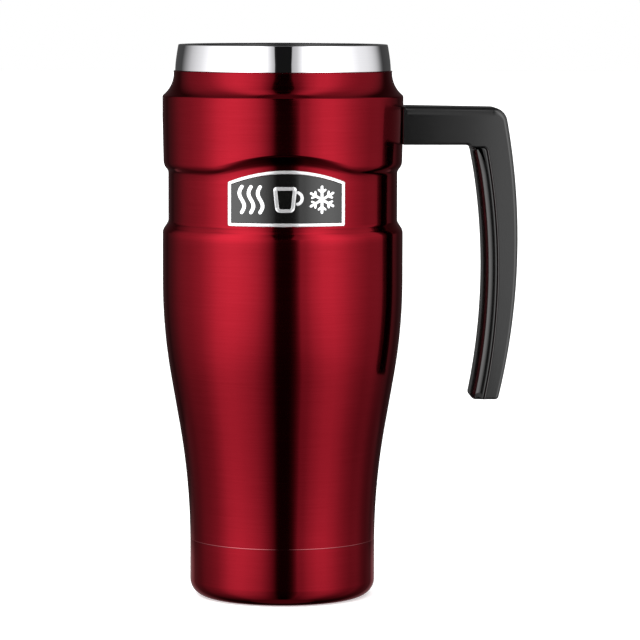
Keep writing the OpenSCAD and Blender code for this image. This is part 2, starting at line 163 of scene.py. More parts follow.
def mesh_object(name, verts, faces):
    mesh = bpy.data.meshes.new(name)
    mesh.from_pydata(verts, [], faces)
    obj = bpy.data.objects.new(name, mesh)
    bpy.context.scene.collection.objects.link(obj)
    bm = bmesh.new()
    bm.from_mesh(mesh)
    bmesh.ops.recalc_face_normals(bm, faces=bm.faces)
    bm.to_mesh(mesh)
    bm.free()
    return obj


def skin(name, loops, cyclic=False):
    """Quads between closed loops of equal length. The two ends are capped, or joined if cyclic."""
    size = len(loops[0])
    verts = [p for loop in loops for p in loop]
    faces = []
    for i in range(len(loops) if cyclic else len(loops) - 1):
        a, b = i * size, ((i + 1) % len(loops)) * size
        for k in range(size):
            n = (k + 1) % size
            faces.append((a + k, a + n, b + n, b + k))
    if not cyclic:
        faces.append(tuple(range(size)))
        faces.append(tuple(len(verts) - size + k for k in range(size)))
    return mesh_object(name, verts, faces)


def revolve(name, outline, cyclic=False, steps=TURN_STEPS):
    """Turns (radius, z) points round the Z axis. An outline that isn't cyclic is closed by flat caps."""
    turns = full_turn(steps)
    loops = [[(r * cos(a), r * sin(a), z) for a in turns] for r, z in outline]
    return skin(name, loops, cyclic)


def edged(*stretches):
    """An outline with edge radii, from (points, radius) or (points, first, last radius) stretches."""
    outline = []
    for points, first, *last in stretches:
        end = last[0] if last else first
        n = max(1, len(points) - 1)
        outline += [(x, z, mix(first, end, i / n)) for i, (x, z) in enumerate(points)]
    return outline


def rounded_slab(name, outline, half, place, rounds=7):
    """A slab between -half and half with its side edges rounded.

    outline holds counter-clockwise (u, v, edge radius) points. place(u, depth, v) is a point in space.
    """
    flat = [(u, v) for u, v, _ in outline]
    edges = [e for _, _, e in outline]
    layers = []
    for j in range(rounds + 1):
        phi = pi / 2 * j / rounds
        ring = inset(flat, [e * (1 - cos(phi)) for e in edges])
        layers.append([(u, half - e + e * sin(phi), v) for (u, v), e in zip(ring, edges)])
    loops = [[place(u, -d, v) for u, d, v in layer] for layer in reversed(layers)]
    loops += [[place(u, d, v) for u, d, v in layer] for layer in layers]
    return skin(name, loops)


def combine(target, *others):
    """Joins other pieces into the target's mesh."""
    bm = bmesh.new()
    bm.from_mesh(target.data)
    for other in others:
        bm.from_mesh(other.data)
        bpy.data.objects.remove(other)
    bm.to_mesh(target.data)
    bm.free()
    return target


def cut(target, tool):
    """Cuts the tool from the target and removes the tool."""
    step = target.modifiers.new("cut", "BOOLEAN")
    step.operation = "DIFFERENCE"
    step.solver = "EXACT"
    step.object = tool
    shaped = target.evaluated_get(bpy.context.evaluated_depsgraph_get())
    mesh = bpy.data.meshes.new_from_object(shaped)
    target.modifiers.clear()
    target.data = mesh
    bpy.data.objects.remove(tool)
    return target


def finish_piece(obj, body, material, node=None, sharp=32):
    """Smooth shading, material, and the piece's place in the frame."""
    obj.data.polygons.foreach_set("use_smooth", [True] * len(obj.data.polygons))
    obj.data.set_sharp_from_angle(angle=radians(sharp))
    normals = obj.modifiers.new("normals", "WEIGHTED_NORMAL")
    normals.keep_sharp = True
    obj.data.materials.clear()
    obj.data.materials.append(material)
    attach(obj, body)
    if node:
        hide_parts(node)


# ---- materials

class Graph:
    """The nodes of a material or world, with short ways to add the kinds used here."""

    def __init__(self, owner):
        owner.use_nodes = True
        self.owner = owner
        self.nodes = owner.node_tree.nodes

    def feed(self, socket, value):
        """Links an output to the socket, or sets the socket to a plain value."""
        if isinstance(value, bpy.types.NodeSocket):
            self.owner.node_tree.links.new(value, socket)
        else:
            socket.default_value = value

    def maths(self, operation, *values):
        node = self.nodes.new("ShaderNodeMath")
        node.operation = operation
        for socket, value in zip(node.inputs, values):
            self.feed(socket, value)
        return node.outputs["Value"]

    def noise(self, scale, stretch=(1, 1, 1), detail=2.0):
        """Noise in object space: scale is in features per metre, stretch multiplies it along each axis."""
        coords = self.nodes.new("ShaderNodeTexCoord")
        mapping = self.nodes.new("ShaderNodeMapping")
        texture = self.nodes.new("ShaderNodeTexNoise")
        self.feed(mapping.inputs["Vector"], coords.outputs["Object"])
        self.feed(mapping.inputs["Scale"], stretch)
        self.feed(texture.inputs["Vector"], mapping.outputs["Vector"])
        self.feed(texture.inputs["Scale"], scale)
        self.feed(texture.inputs["Detail"], detail)
        return texture.outputs["Fac"]

    def ranged(self, value, low, high, from_low=0.3, from_high=0.7):
        """Maps a value onto low to high."""
        node = self.nodes.new("ShaderNodeMapRange")
        self.feed(node.inputs["Value"], value)
        self.feed(node.inputs["From Min"], from_low)
        self.feed(node.inputs["From Max"], from_high)
        self.feed(node.inputs["To Min"], low)
        self.feed(node.inputs["To Max"], high)
        return node.outputs["Result"]

    def tinted(self, value, low, high):
        """A colour between low and high."""
        node = self.nodes.new("ShaderNodeMix")
        node.data_type = "RGBA"
        self.feed(node.inputs["Factor"], value)
        self.feed(node.inputs["A"], (*low, 1))
        self.feed(node.inputs["B"], (*high, 1))
        return node.outputs["Result"]

    def ramp(self, value, stops):
        """A level read from straight lines between (position, level) stops."""
        node = self.nodes.new("ShaderNodeValToRGB")
        node.color_ramp.interpolation = "LINEAR"
        elements = node.color_ramp.elements
        while len(elements) < len(stops):
            elements.new(0.5)
        for element, (at, level) in zip(elements, stops):
            element.position = at
            element.color = (level, level, level, 1)
        self.feed(node.inputs["Fac"], value)
        return node.outputs["Color"]

    def either(self, choice, zero, one):
        """Two shaders, mixed by choice."""
        node = self.nodes.new("ShaderNodeMixShader")
        for socket, value in zip(node.inputs, (choice, zero, one)):
            self.feed(socket, value)
        return node.outputs["Shader"]


class Look(Graph):
    """A material built on the principled shader."""

    def __init__(self, name, colour, metallic, roughness):
        super().__init__(bpy.data.materials.new(name))
        self.shader = self.nodes["Principled BSDF"]
        self.put("Base Color", (*colour, 1))
        self.put("Metallic", metallic)
        self.put("Roughness", roughness)

    def put(self, name, value):
        """Gives one of the shader's sockets a value or a link."""
        self.feed(self.shader.inputs[name], value)

    def bump(self, height, depth):
        """Small relief; depth is the relief's height in metres."""
        node = self.nodes.new("ShaderNodeBump")
        self.feed(node.inputs["Strength"], 1.0)
        self.feed(node.inputs["Distance"], depth)
        self.feed(node.inputs["Height"], height)
        self.put("Normal", node.outputs["Normal"])

    def brush_round(self, amount):
        """Anisotropic gloss as brushing round the axis leaves: sharp along it, soft across."""
        tangent = self.nodes.new("ShaderNodeTangent")
        tangent.direction_type = "RADIAL"
        tangent.axis = "Z"
        self.put("Anisotropic", amount)
        self.put("Anisotropic Rotation", 0.25)
        self.put("Tangent", tangent.outputs["Tangent"])


def red_metal(name, deep, bright):
    """Translucent red lacquer over finely brushed steel, with painted highlight and painted shade read
    from the mesh.
    """
    look = Look(name, deep, 1.0, 0.1)
    look.put("Specular Tint", (1.0, 0.6, 0.62, 1))
    look.brush_round(0.35)
    lines = look.noise(60, (1, 1, 55), 4.0)
    look.put("Roughness", look.ranged(lines, 0.085, 0.135))
    look.bump(lines, 0.0015 * MM)
    lacquer_and_painted_light = look.tinted(look.ranged(lines, 0.0, 1.0), deep, bright)
    # Painted highlight and painted shade: the mesh's attribute brightens or darkens the colour.
    tone = look.nodes.new("ShaderNodeAttribute")
    tone.attribute_name = "lacquer_and_painted_light"
    toned = look.nodes.new("ShaderNodeVectorMath")
    toned.operation = "SCALE"
    look.feed(toned.inputs[0], lacquer_and_painted_light)
    look.feed(toned.inputs["Scale"], look.maths("ADD", tone.outputs["Fac"], 1.0))
    look.put("Base Color", toned.outputs["Vector"])
    return look.owner


def polished_steel():
    """Mirror-polished steel with the faintest turning lines and smudges."""
    look = Look("polished_steel", (0.9, 0.9, 0.92), 1.0, 0.012)
    lines = look.noise(70, (1, 1, 40), 3.0)
    look.put("Roughness", look.ranged(look.noise(90), 0.006, 0.02))
    look.put("Base Color", look.tinted(lines, (0.87, 0.865, 0.9), (0.92, 0.915, 0.935)))
    look.bump(lines, 0.0002 * MM)
    return look.owner


def moulded(name, dark, light, rough, grain, relief, gloss=1.5):
    """Moulded plastic or rubber: fine spark-eroded grain, and faint broad handling marks."""
    look = Look(name, light, 0.0, rough[1])
    look.put("IOR", gloss)
    fine = look.noise(grain)
    look.put("Roughness", look.ranged(look.noise(55, detail=3.0), *rough))
    look.put("Base Color", look.tinted(look.ranged(fine, 0.0, 1.0), dark, light))
    look.bump(fine, relief)
    return look.owner


def badge_enamel():
    """Glossy black enamel with a faint metal flake."""
    look = Look("badge_enamel", (0.002, 0.002, 0.002), 0.0, 0.05)
    look.put("IOR", 1.55)
    flake = look.ranged(look.noise(5200, detail=1.0), 0.0, 1.0, 0.45, 0.75)
    look.put("Base Color", look.tinted(flake, (0.0018, 0.0018, 0.0018), (0.0055, 0.0055, 0.0052)))
    look.put("Roughness", look.ranged(look.noise(120), 0.03, 0.06))
    return look.owner


def one_grain(name, metallic, dark, light, rough, grain, relief=0.0, brushed=0.0):
    """A material whose tone, gloss and relief follow one noise, given by its scale, stretch and detail."""
    look = Look(name, light, metallic, rough[1])
    if brushed:
        look.brush_round(brushed)
    fine = look.noise(*grain)
    look.put("Roughness", look.ranged(fine, *rough))
    look.put("Base Color", look.tinted(fine, dark, light))
    if relief:
        look.bump(fine, relief)
    return look.owner


INK = (0.0022, 0.0022, 0.0022)  # deepest tone of the handle's plastic and grip
RED = red_metal("red_lacquered_steel", (0.182, 0.0055, 0.0112), (0.2, 0.0068, 0.0135))
# The weld bead's lighter pink is a painted highlight along the seam.
WELD = red_metal("rubbed_weld", (0.36, 0.075, 0.09), (0.5, 0.13, 0.15))
POLISHED = polished_steel()
# Stainless steel as drawn and brushed, not polished.
STEEL = one_grain("brushed_steel", 1.0, (0.54, 0.53, 0.515), (0.66, 0.65, 0.635), (0.22, 0.4),
                  (50, (1, 1, 45), 4.0), 0.003 * MM, 0.6)
BLACK = moulded("black_plastic", INK, (0.004, 0.004, 0.0041), (0.045, 0.07), 2600, 0.0004 * MM, 1.62)
GRIP = moulded("soft_grip", INK, (0.004, 0.004, 0.004), (0.09, 0.12), 3400, 0.0008 * MM, 1.58)
LID = moulded("lid_plastic", (0.006, 0.006, 0.0062), (0.01, 0.01, 0.0102), (0.22, 0.3), 2200, 0.003 * MM)
ENAMEL = badge_enamel()
# Bright silvered white on the badge's raised lines.
WHITE = one_grain("badge_silver_white", 0.72, (0.81, 0.81, 0.82), (0.87, 0.87, 0.88), (0.06, 0.11), (300,))
# Dull white silicone, crumpled foil, braze that has flowed, and a sintered pill.
SILICONE = one_grain("silicone", 0.0, (0.38, 0.38, 0.365), (0.46, 0.46, 0.445), (0.36, 0.5),
                     (1800,), 0.006 * MM)
COPPER = one_grain("copper_foil", 1.0, (0.72, 0.3, 0.16), (0.9, 0.45, 0.26), (0.15, 0.32),
                   (260, (1, 1, 1), 5.0), 0.06 * MM)
BRAZE = one_grain("braze", 1.0, (0.5, 0.36, 0.14), (0.7, 0.52, 0.24), (0.25, 0.45),
                  (900, (1, 1, 1), 5.0), 0.03 * MM)
PILL = one_grain("getter_pill", 1.0, (0.1, 0.1, 0.1), (0.2, 0.2, 0.2), (0.55, 0.75),
                 (4000, (1, 1, 1), 5.0), 0.02 * MM)


# ---- steel body

TAPER_Z0 = 19 * MM  # level of the curved taper's foot
TAPER_Z1 = 114.6 * MM  # and its top
TAPER_LEAN = 9.9  # degrees
TAPER_R0 = 250 * MM  # hollow lower curve
TAPER_R1 = 200 * MM  # full upper curve
STEP_ROUND = 4 * MM  # upper edge of the belly
WAIST_ROUND = 2.2 * MM  # hollows at the waist's foot and top
LIP_ROUND = 4.2 * MM  # lower edge of the upper band
LIP_RISE = 16 * MM  # height over which that band widens
SHOULDER_ROUND = 0.8 * MM
COLLAR_ROUND = 10.3 * MM  # concave sweep from the shoulder up to the collar
NECK_R = 36.2 * MM
LINER_T = 0.6 * MM

ARCH_R = 54 * MM  # arch pressed into the band over the badge
ARCH_RISE = 5 * MM
ARCH_SOFT = 0.9 * MM
ARCH_X = -0.4 * MM
# How much of the arch's rise each level of the shell takes, and how dark the painted shade under the arch
# is.
ARCH_LIFTS = (from_level(WAIST_TOP, (-11, 0.0), (0, 0.8))
              + from_level(BAND_LOW_Z, (-2.2, 1.02), (0.4, 0.78), (16, 0.0)))
PAINTED_ARCH_SHADE = (from_level(WAIST_TOP, (0, 0.0), (0.9, 0.75))
              + from_level(BAND_LOW_Z, (-0.9, 0.75), (0.1, 0.0)))

# Painted light along the shell, by height: above 1 is a painted highlight, over the belly's top edge and
# the foot of the upper band; below 1 is painted shade, at the waist's top and on the sweep up to the
# collar.
PAINTED_HIGHLIGHT_AND_SHADE = (from_level(STEP_LOW_Z, (-2.2, 1.0), (-0.9, 1.1), (0.3, 1.36), (1.8, 1.38), (2.9, 1.45),
                      (3.7, 1.2))
           + from_level(WAIST_LOW, (0.3, 1.0))
           + from_level(WAIST_TOP, (-0.8, 1.04), (0.3, 0.8), (1.4, 0.7))
           + from_level(BAND_LOW_Z, (-1.2, 1.0), (2, 1.06), (6, 1.0))
           + from_level(SHOULDER_TOP, (-0.6, 1.0), (0.1, 0.86), (1.2, 0.9), (2.7, 0.95), (6, 0.97)))


def shell_line(w):
    """(radius, z) of the shell's outer face moved inwards by w, from the weld to the collar."""
    foot = degrees(asin((SEAM_Z - TAPER_Z0) / TAPER_R0))
    line = arc(BASE_R + TAPER_R0, TAPER_Z0, TAPER_R0 + w, 180 - foot, 180 - TAPER_LEAN, 12)
    line += arc(BELLY_R - TAPER_R1, TAPER_Z1, TAPER_R1 - w, -TAPER_LEAN, 0, 14)
    line += [(BELLY_R - w, mix(TAPER_Z1, STEP_LOW_Z, i / 12)) for i in range(1, 12)]
    line += arc(BELLY_R - STEP_ROUND, STEP_LOW_Z, STEP_ROUND - w, 0, 40, 12)
    line += arc(WAIST_R + WAIST_ROUND, WAIST_LOW, WAIST_ROUND + w, 220, 180, 9)
    line += [(WAIST_R - w, mix(WAIST_LOW, WAIST_TOP, i / 8)) for i in range(1, 8)]
    line += arc(WAIST_R + WAIST_ROUND, WAIST_TOP, WAIST_ROUND + w, 180, 142, 9)
    line += arc(BAND_FOOT_R - LIP_ROUND, BAND_LOW_Z, LIP_ROUND - w, -38, 0, 12)
    line += [(mix(BAND_FOOT_R, SHOULDER_R, i / 8) - w, BAND_LOW_Z + LIP_RISE * i / 8) for i in range(1, 9)]
    line += arc(SHOULDER_R - SHOULDER_ROUND, SHOULDER_TOP - SHOULDER_ROUND, SHOULDER_ROUND - w, 0, 48, 6)
    line += arc(COLLAR_R + COLLAR_ROUND, SHOULDER_TOP + 7.85 * MM, COLLAR_ROUND + w, 229, 180, 16)
    return line


def arch_share(x):
    """Height of the arch at x, as a share of its rise: a round crown with soft feet."""
    reach = ARCH_R ** 2 - (x - ARCH_X) ** 2
    crown = ARCH_RISE - ARCH_R + sqrt(reach) if reach > 0 else -ARCH_R
    lifted = ARCH_SOFT * log1p(exp(min(40.0, crown / ARCH_SOFT)))
    return lifted / ARCH_RISE


def arched(r, z, a):
    """The point at angle a of a (radius, z) profile, lifted where the arch runs over the front."""
    x, y = r * cos(a), r * sin(a)
    if y < 0:
        z += ARCH_RISE * arch_share(x) * along(ARCH_LIFTS, z)
    return x, y, z


def build_shell():
    """The drawn outer shell, with its painted highlight and painted shade stored on the mesh."""
    hole_r = NECK_R + LINER_T + 0.05 * MM
    rolled = arc(COLLAR_R - 0.3 * MM, BODY_TOP - 0.3 * MM, 0.3 * MM, 0, 90, 5)
    profile = shell_line(0) + rolled
    profile += [(hole_r, BODY_TOP), (hole_r, BODY_TOP - WALL), (COLLAR_R - 1.2 * MM, BODY_TOP - WALL)]
    profile += [(COLLAR_R - WALL, BODY_TOP - 1.2 * MM)] + list(reversed(shell_line(WALL)))
    turns = full_turn(2 * TURN_STEPS)
    loops = [[arched(r, z, a) for a in turns] for r, z in profile]
    shell = skin("outer_shell_skin", loops, cyclic=True)
    arch = [arch_share((SHOULDER_R - MM) * cos(a)) if sin(a) < 0 else 0.0 for a in turns]
    tones = []
    for _, z in profile:
        # Painted highlight and painted shade for each point: the tone by height, darkened further under
        # the arch.
        tone, shade = along(PAINTED_HIGHLIGHT_AND_SHADE, z), along(PAINTED_ARCH_SHADE, z)
        tones += [tone * (1 - share * shade) - 1 for share in arch]
    lacquer_and_painted_light = shell.data.attributes.new("lacquer_and_painted_light", "FLOAT", "POINT")
    lacquer_and_painted_light.data.foreach_set("value", tones)
    finish_piece(shell, "mug", RED, "outer_shell")


def build_weld():
    """Low bead of the weld between the shell and the base cup; its lighter pink colour is a painted
    highlight.
    """
    half, proud, sunk = 0.12 * MM, 0.035 * MM, 0.25 * MM
    z = SEAM_Z - 0.05 * MM
    face = [(BASE_R + proud * (1 - (t / 4) ** 2), z + half * t / 4) for t in range(-4, 5)]
    outline = [(BASE_R - sunk, z - half)] + face + [(BASE_R - sunk, z + half)]
    finish_piece(revolve("weld_bead", outline, cyclic=True), "mug", WELD)


def build_base_cup():
    """Base cup with its foot ring, the recess for the disc, and the spigot inside the shell."""
    foot_round = 6 * MM
    foot_r = BASE_R - foot_round
    recess_r = foot_r - 5 * MM
    ledge_r = recess_r - 2 * MM
    floor_low, floor_high = 2.2 * MM, 3 * MM
    ledge_z = 1.25 * MM
    ring_edge = 0.5 * MM
    cup_top = SEAM_Z - 0.1 * MM
    edge = 0.16 * MM
    spigot_r = BASE_R - WALL - 0.05 * MM
    inner_round = foot_round - WALL
    pump_r = 1 * MM
    outline = [(pump_r, floor_low), (ledge_r, floor_low), (ledge_r, ledge_z), (recess_r, ledge_z)]
    outline += arc(recess_r + ring_edge, ring_edge, ring_edge, 180, 270, 5)
    outline += arc(foot_r, foot_round, foot_round, -90, 0, 14)
    outline += [(BASE_R, cup_top - edge), (BASE_R - edge, cup_top), (spigot_r, cup_top)]
    outline += [(spigot_r, cup_high.z), (spigot_r - WALL, cup_high.z)]
    outline += arc(spigot_r - WALL - inner_round, floor_high + inner_round, inner_round, 0, -90, 8)
    outline += [(pump_r, floor_high)]
    finish_piece(revolve("base_cup_skin", outline, cyclic=True), "mug", RED, "base_cup")


# ---- liner

SEAT_Z = BODY_TOP - 13.15 * MM  # foot of the gasket's seat
VESSEL_R_LOW = 28.5 * MM
VESSEL_R_HIGH = 34.5 * MM
PLUG_R = 34.9 * MM
THREAD_LEAD = 15 * MM
THREAD_STARTS = 3
THREAD_Z = SEAT_Z + 7.6 * MM
RIDGE_ROOT = 0.25 * MM
RIDGE_GAP = 0.35 * MM


def ridge(root_r, crest_r, z0, start, sweep):
    """A helical thread ridge with a rounded crest that fades in and out."""
    half = 0.23 * THREAD_LEAD / THREAD_STARTS
    spread = radians(75)
    crest = [spread * (k - 3) / 3 for k in range(7)]
    crest = [(0.45 + 0.55 * cos(b), 0.62 * sin(b) / sin(spread)) for b in crest]
    steps = 40
    loops = []
    for i in range(steps + 1):
        a = radians(start + sweep * i / steps)
        z = z0 + THREAD_LEAD * sweep * i / steps / 360
        fade = 0.15 + 0.85 * smoothstep(min(i, steps - i) / 5)
        loop = []
        for u, v in [(0, -1)] + crest + [(0, 1)]:
            r = root_r + (crest_r - root_r) * fade * u
            loop.append((r * cos(a), r * sin(a), z + half * v))
        loops.append(loop)
    return skin("ridge", loops)


def build_liner():
    """The drinking vessel, with the gasket's seat and the thread in its neck."""
    corner = 7 * MM
    floor = 9 * MM
    lip_z = liner_high.z - LINER_T / 2

    def line(w):
        side = arc(VESSEL_R_LOW - corner, floor + corner, corner + w, -90, 0, 12)
        for i in range(1, 13):
            r = mix(VESSEL_R_LOW, VESSEL_R_HIGH, i / 12) + w
            side.append((r, mix(floor + corner, SEAT_Z, i / 12)))
        return side + [(NECK_R + w, SEAT_Z + NECK_R - VESSEL_R_HIGH), (NECK_R + w, lip_z)]

    lip = arc(NECK_R + LINER_T / 2, lip_z, LINER_T / 2, 0, 180, 8)
    liner = revolve("liner_skin", line(LINER_T) + lip[1:-1] + list(reversed(line(0))))
    for k in range(THREAD_STARTS):
        combine(liner, ridge(NECK_R + RIDGE_ROOT, PLUG_R + RIDGE_GAP, THREAD_Z, 120 * k, 105))
    finish_piece(liner, "mug", STEEL, "inner_liner")


# ---- badge

BADGE_HALF_W = frame_high.x
BADGE_LOW = frame_low.z
BADGE_TOP = frame_high.z
BADGE_RISE = 4.2 * MM
BADGE_ARCH_R = (BADGE_HALF_W ** 2 + BADGE_RISE ** 2) / (2 * BADGE_RISE)
BADGE_T = 0.6 * MM
FRAME_W = 1.2 * MM
MOTIF_Z = BADGE_LOW + 9.5 * MM  # middle of the icons
LINE_W = 1.25 * MM


def on_waist(x, z, t):
    """A front-view point set on the waist, t above its surface."""
    r = WAIST_R + t
    return x, -sqrt(r * r - x * x), z


def badge_outline():
    """Plain cartouche with an arched top, counter-clockwise in front view."""
    lean = degrees(asin(BADGE_HALF_W / BADGE_ARCH_R))
    top = arc(0, BADGE_TOP - BADGE_ARCH_R, BADGE_ARCH_R, 90 - lean, 90 + lean, 36)
    side = [mix(BADGE_LOW, top[0][1], i / 6) for i in range(1, 6)]
    corners = [(-BADGE_HALF_W, BADGE_LOW, 1.5 * MM)]
    corners += [(mix(-BADGE_HALF_W, BADGE_HALF_W, i / 30), BADGE_LOW, 0) for i in range(1, 30)]
    corners += [(BADGE_HALF_W, BADGE_LOW, 1.5 * MM)]
    corners += [(BADGE_HALF_W, z, 0) for z in side]
    corners += [(*top[0], 1.3 * MM)] + [(*p, 0) for p in top[1:-1]] + [(*top[-1], 1.3 * MM)]
    corners += [(-BADGE_HALF_W, z, 0) for z in reversed(side)]
    return soften(corners, 0, 6)


def build_badge_frame():
    """Bright border with a rounded section, given as (inset, height) in millimetres."""
    outline = badge_outline()
    section = ((0.0, 0.05), (0.0, 0.62), (0.06, 0.76), (0.16, 0.86), (0.3, 0.9), (0.9, 0.9),
               (1.04, 0.86), (1.14, 0.76), (1.2, 0.62), (1.2, 0.05))
    loops = [[on_waist(x, z, t * MM) for x, z in inset(outline, s * MM)] for s, t in section]
    finish_piece(skin("badge_frame_skin", loops, cyclic=True), "mug", WHITE, "badge_frame")


def build_badge_plate():
    """The field inside the frame: a grid between its bottom and top edges, front, rim and back."""
    gap = FRAME_W + 0.05 * MM
    half = BADGE_HALF_W - gap
    radius = BADGE_ARCH_R - FRAME_W
    corner = 0.5 * MM
    bevel = 0.1 * MM
    columns, rows = 56, 10

    def reach(x):
        over = max(0.0, abs(x) - (half - corner)) / corner
        pull = corner * (1 - sqrt(max(0.0, 1 - over * over)))
        crown = BADGE_TOP - gap - radius + sqrt(radius ** 2 - x * x)
        return BADGE_LOW + gap + pull, crown - pull

    layers = []
    for t, trim in ((0.05 * MM, 0.0), (BADGE_T - bevel, 0.0), (BADGE_T, bevel)):
        grid = []
        for i in range(columns + 1):
            x = (half - trim) * sin(pi / 2 * (2 * i / columns - 1))
            z0, z1 = reach(x)
            grid.append([on_waist(x, mix(z0 + trim, z1 - trim, k / rows), t) for k in range(rows + 1)])
        layers.append(grid)

    def border(grid):
        ring = [column[0] for column in grid] + grid[-1][1:]
        ring += [column[-1] for column in reversed(grid[:-1])]
        return ring + list(reversed(grid[0][1:-1]))

    quads = []
    for grid in (layers[0], layers[-1]):
        for left, right in zip(grid, grid[1:]):
            quads += [(left[k], right[k], right[k + 1], left[k + 1]) for k in range(rows)]
    for low, high in zip(layers, layers[1:]):
        a, b = border(low), border(high)
        quads += [(a[k - 1], a[k], b[k], b[k - 1]) for k in range(len(a))]
    index = {}
    faces = [tuple(index.setdefault(tuple(round(c, 9) for c in p), len(index)) for p in quad)
             for quad in quads]
    plate = mesh_object("badge_plate_skin", list(index), faces)
    finish_piece(plate, "mug", ENAMEL, "badge_plate")


def stroke(path, width=LINE_W, lift=0.0, closed=False):
    """A raised line on the badge that follows front-view points, with round ends."""
    base = BADGE_T - 0.05 * MM
    height = BADGE_T + 0.12 * MM + lift
    edge = height - 0.05 * MM
    section = ((1, base), (1, edge), (0.86, height), (-0.86, height), (-1, edge), (-1, base))
    points = [Vector(p) for p in path]
    last = len(points) - 1
    rows = []
    for i, p in enumerate(points):
        if closed:
            d = points[(i + 1) % len(points)] - points[i - 1]
        else:
            d = points[min(i + 1, last)] - points[max(i - 1, 0)]
        rows.append((p, Vector((-d.y, d.x)).normalized() * width / 2))
    if not closed:
        turns = [radians(20 * k) for k in range(1, 5)]
        (p, side), (q, far_side) = rows[0], rows[-1]
        back, out = Vector((-side.y, side.x)), Vector((far_side.y, -far_side.x))
        rows = [(p + back * sin(a), side * cos(a)) for a in reversed(turns)] + rows
        rows += [(q + out * sin(a), far_side * cos(a)) for a in turns]
    loops = []
    for p, side in rows:
        spots = [(p + side * u, t) for u, t in section]
        loops.append([on_waist(spot.x, spot.y, t) for spot, t in spots])
    return skin("stroke", loops, cyclic=closed)


def steam():
    """Three wavy lines side by side."""
    parts = []
    for k in (-1, 0, 1):
        x = (-12.6 + 3.2 * k) * MM
        wave = [(x + 0.85 * MM * sin(2 * pi * t / 20), MOTIF_Z + 9 * MM * (t / 20 - 0.5))
                for t in range(21)]
        parts.append(stroke(wave))
    return parts


def cup():
    """A tapered cup with an ear."""
    tall, top_half, low_half = 7.8 * MM, 3.5 * MM, 2.7 * MM
    x0 = -0.7 * MM
    low, high = MOTIF_Z - tall / 2, MOTIF_Z + tall / 2
    corners = [(x0 - low_half, low, 1.2 * MM), (x0 + low_half, low, 1.2 * MM),
               (x0 + top_half, high, 0.5 * MM), (x0 - top_half, high, 0.5 * MM)]
    rounded = soften(corners, 0, 5)
    dense = []
    for i, (x, z) in enumerate(rounded):
        nx, nz = rounded[(i + 1) % len(rounded)]
        steps = max(1, int(hypot(nx - x, nz - z) / MM))
        dense += [(mix(x, nx, k / steps), mix(z, nz, k / steps)) for k in range(steps)]
    ear_x = x0 + top_half + LINE_W / 2 - 0.15 * MM
    ear = arc(ear_x, MOTIF_Z + 0.5 * MM, 2.1 * MM, -78, 78, 12)
    return [stroke(dense, closed=True), stroke(ear, 1.05 * MM, 0.01 * MM)]


def snow():
    """A six-armed crystal with a pair of twigs on each arm."""
    middle = Vector((12.4 * MM, MOTIF_Z))
    reach, fork, twig = 4.5 * MM, 2.5 * MM, 1.5 * MM
    arms, twigs = [], []
    for k in range(6):
        a = radians(90 + 60 * k)
        ray = Vector((cos(a), sin(a)))
        if k < 3:
            arm = [middle + ray * reach * t / 6 for t in range(-6, 7)]
            arms.append(stroke(arm, 0.95 * MM, 0.012 * MM * k))
        for side in (-1, 1):
            b = a + side * radians(52)
            tip = Vector((cos(b), sin(b))) * twig
            path = [middle + ray * fork + tip * i / 3 for i in range(4)]
            twigs.append(stroke(path, 0.75 * MM, (0.04 + 0.01 * side) * MM))
    return arms + twigs


def build_badge_motif():
    """A generic hot-and-cold emblem: rising steam, a cup and a snow crystal."""
    motif = combine(*steam(), *cup(), *snow())
    motif.name = "badge_motif"
    finish_piece(motif, "mug", WHITE)


# ---- handle

ARM_TOP = shank_high.z
ARM_LOW = ARM_TOP - 14 * MM
ARM_FALL = 0.5 * MM  # the arm's top falls a little towards the elbow
HANDLE_LOW = shank_low.z
OUTER_C = (-158.1 * MM, 129.2 * MM)  # centre of the outer curve
OUTER_R = 242.7 * MM
INNER_C = (-154.2 * MM, 118.9 * MM)  # centre of the finger-side curve
INNER_R = 226.45 * MM
GRIP_T = 5 * MM
GRIP_TOP = ARM_LOW - 0.9 * MM
ROOT_R = SHOULDER_R + 0.1 * MM  # the root's face follows the body
ROOT_ROUND_LOW = 0.7 * MM
ROOT_ROUND_TOP = 1.3 * MM
ELBOW_R = 5.5 * MM
CROOK_R = 2.5 * MM
TIP_R_OUT = 1.4 * MM
TIP_R_IN = 1.8 * MM
SCREWS_X = (50.5 * MM, 57.5 * MM)

# Roundings of the edges between the handle's outline and its two flat sides.
GROOVE_EDGE = 0.65 * MM  # along the parting groove
TOP_EDGE = 3 * MM
SIDE_EDGE = 1.6 * MM
LOW_EDGE = 1.1 * MM
TIP_EDGE = 0.9 * MM
ROOT_EDGE = 0.7 * MM
CROOK_EDGE = 3.4 * MM
FINGER_EDGE = 4.2 * MM


def touching(c, big, r, z, s):
    """Centre at height z of a round that touches a big circle from inside (s = -1) or outside (1)."""
    return c[0] + sqrt((big + s * r) ** 2 - (z - c[1]) ** 2), z


def lean(c, p):
    """Degrees of the line from c to p."""
    return degrees(atan2(p[1] - c[1], p[0] - c[0]))


def on_body(x, y, z):
    """Slab point in space; near the root it is drawn back onto the round body."""
    near = 1 - smoothstep((x - ROOT_R) / (6 * MM))
    return x + (sqrt(ROOT_R ** 2 - y * y) - ROOT_R) * near, y, z


def crook_arc(low_z, high_z, n):
    """The inner corner of the elbow between two heights, from low to high."""
    c = touching(INNER_C, INNER_R, CROOK_R, ARM_LOW - CROOK_R, -1)
    a0 = max(lean(INNER_C, c), degrees(asin(max(-1.0, (low_z - c[1]) / CROOK_R))))
    a1 = degrees(asin(min(1.0, (high_z - c[1]) / CROOK_R)))
    return arc(*c, CROOK_R, a0, a1, n)


def parting_line(r, nook, top):
    """The line between shell and grip, from its foot up round the grip's top."""
    turn = touching(INNER_C, r, nook, top - nook, -1)
    foot = degrees(asin((HANDLE_LOW - INNER_C[1]) / r))
    line = arc(*INNER_C, r, foot, lean(INNER_C, turn), 40)
    return line + arc(*turn, nook, lean(INNER_C, turn), 90, 6)[1:]


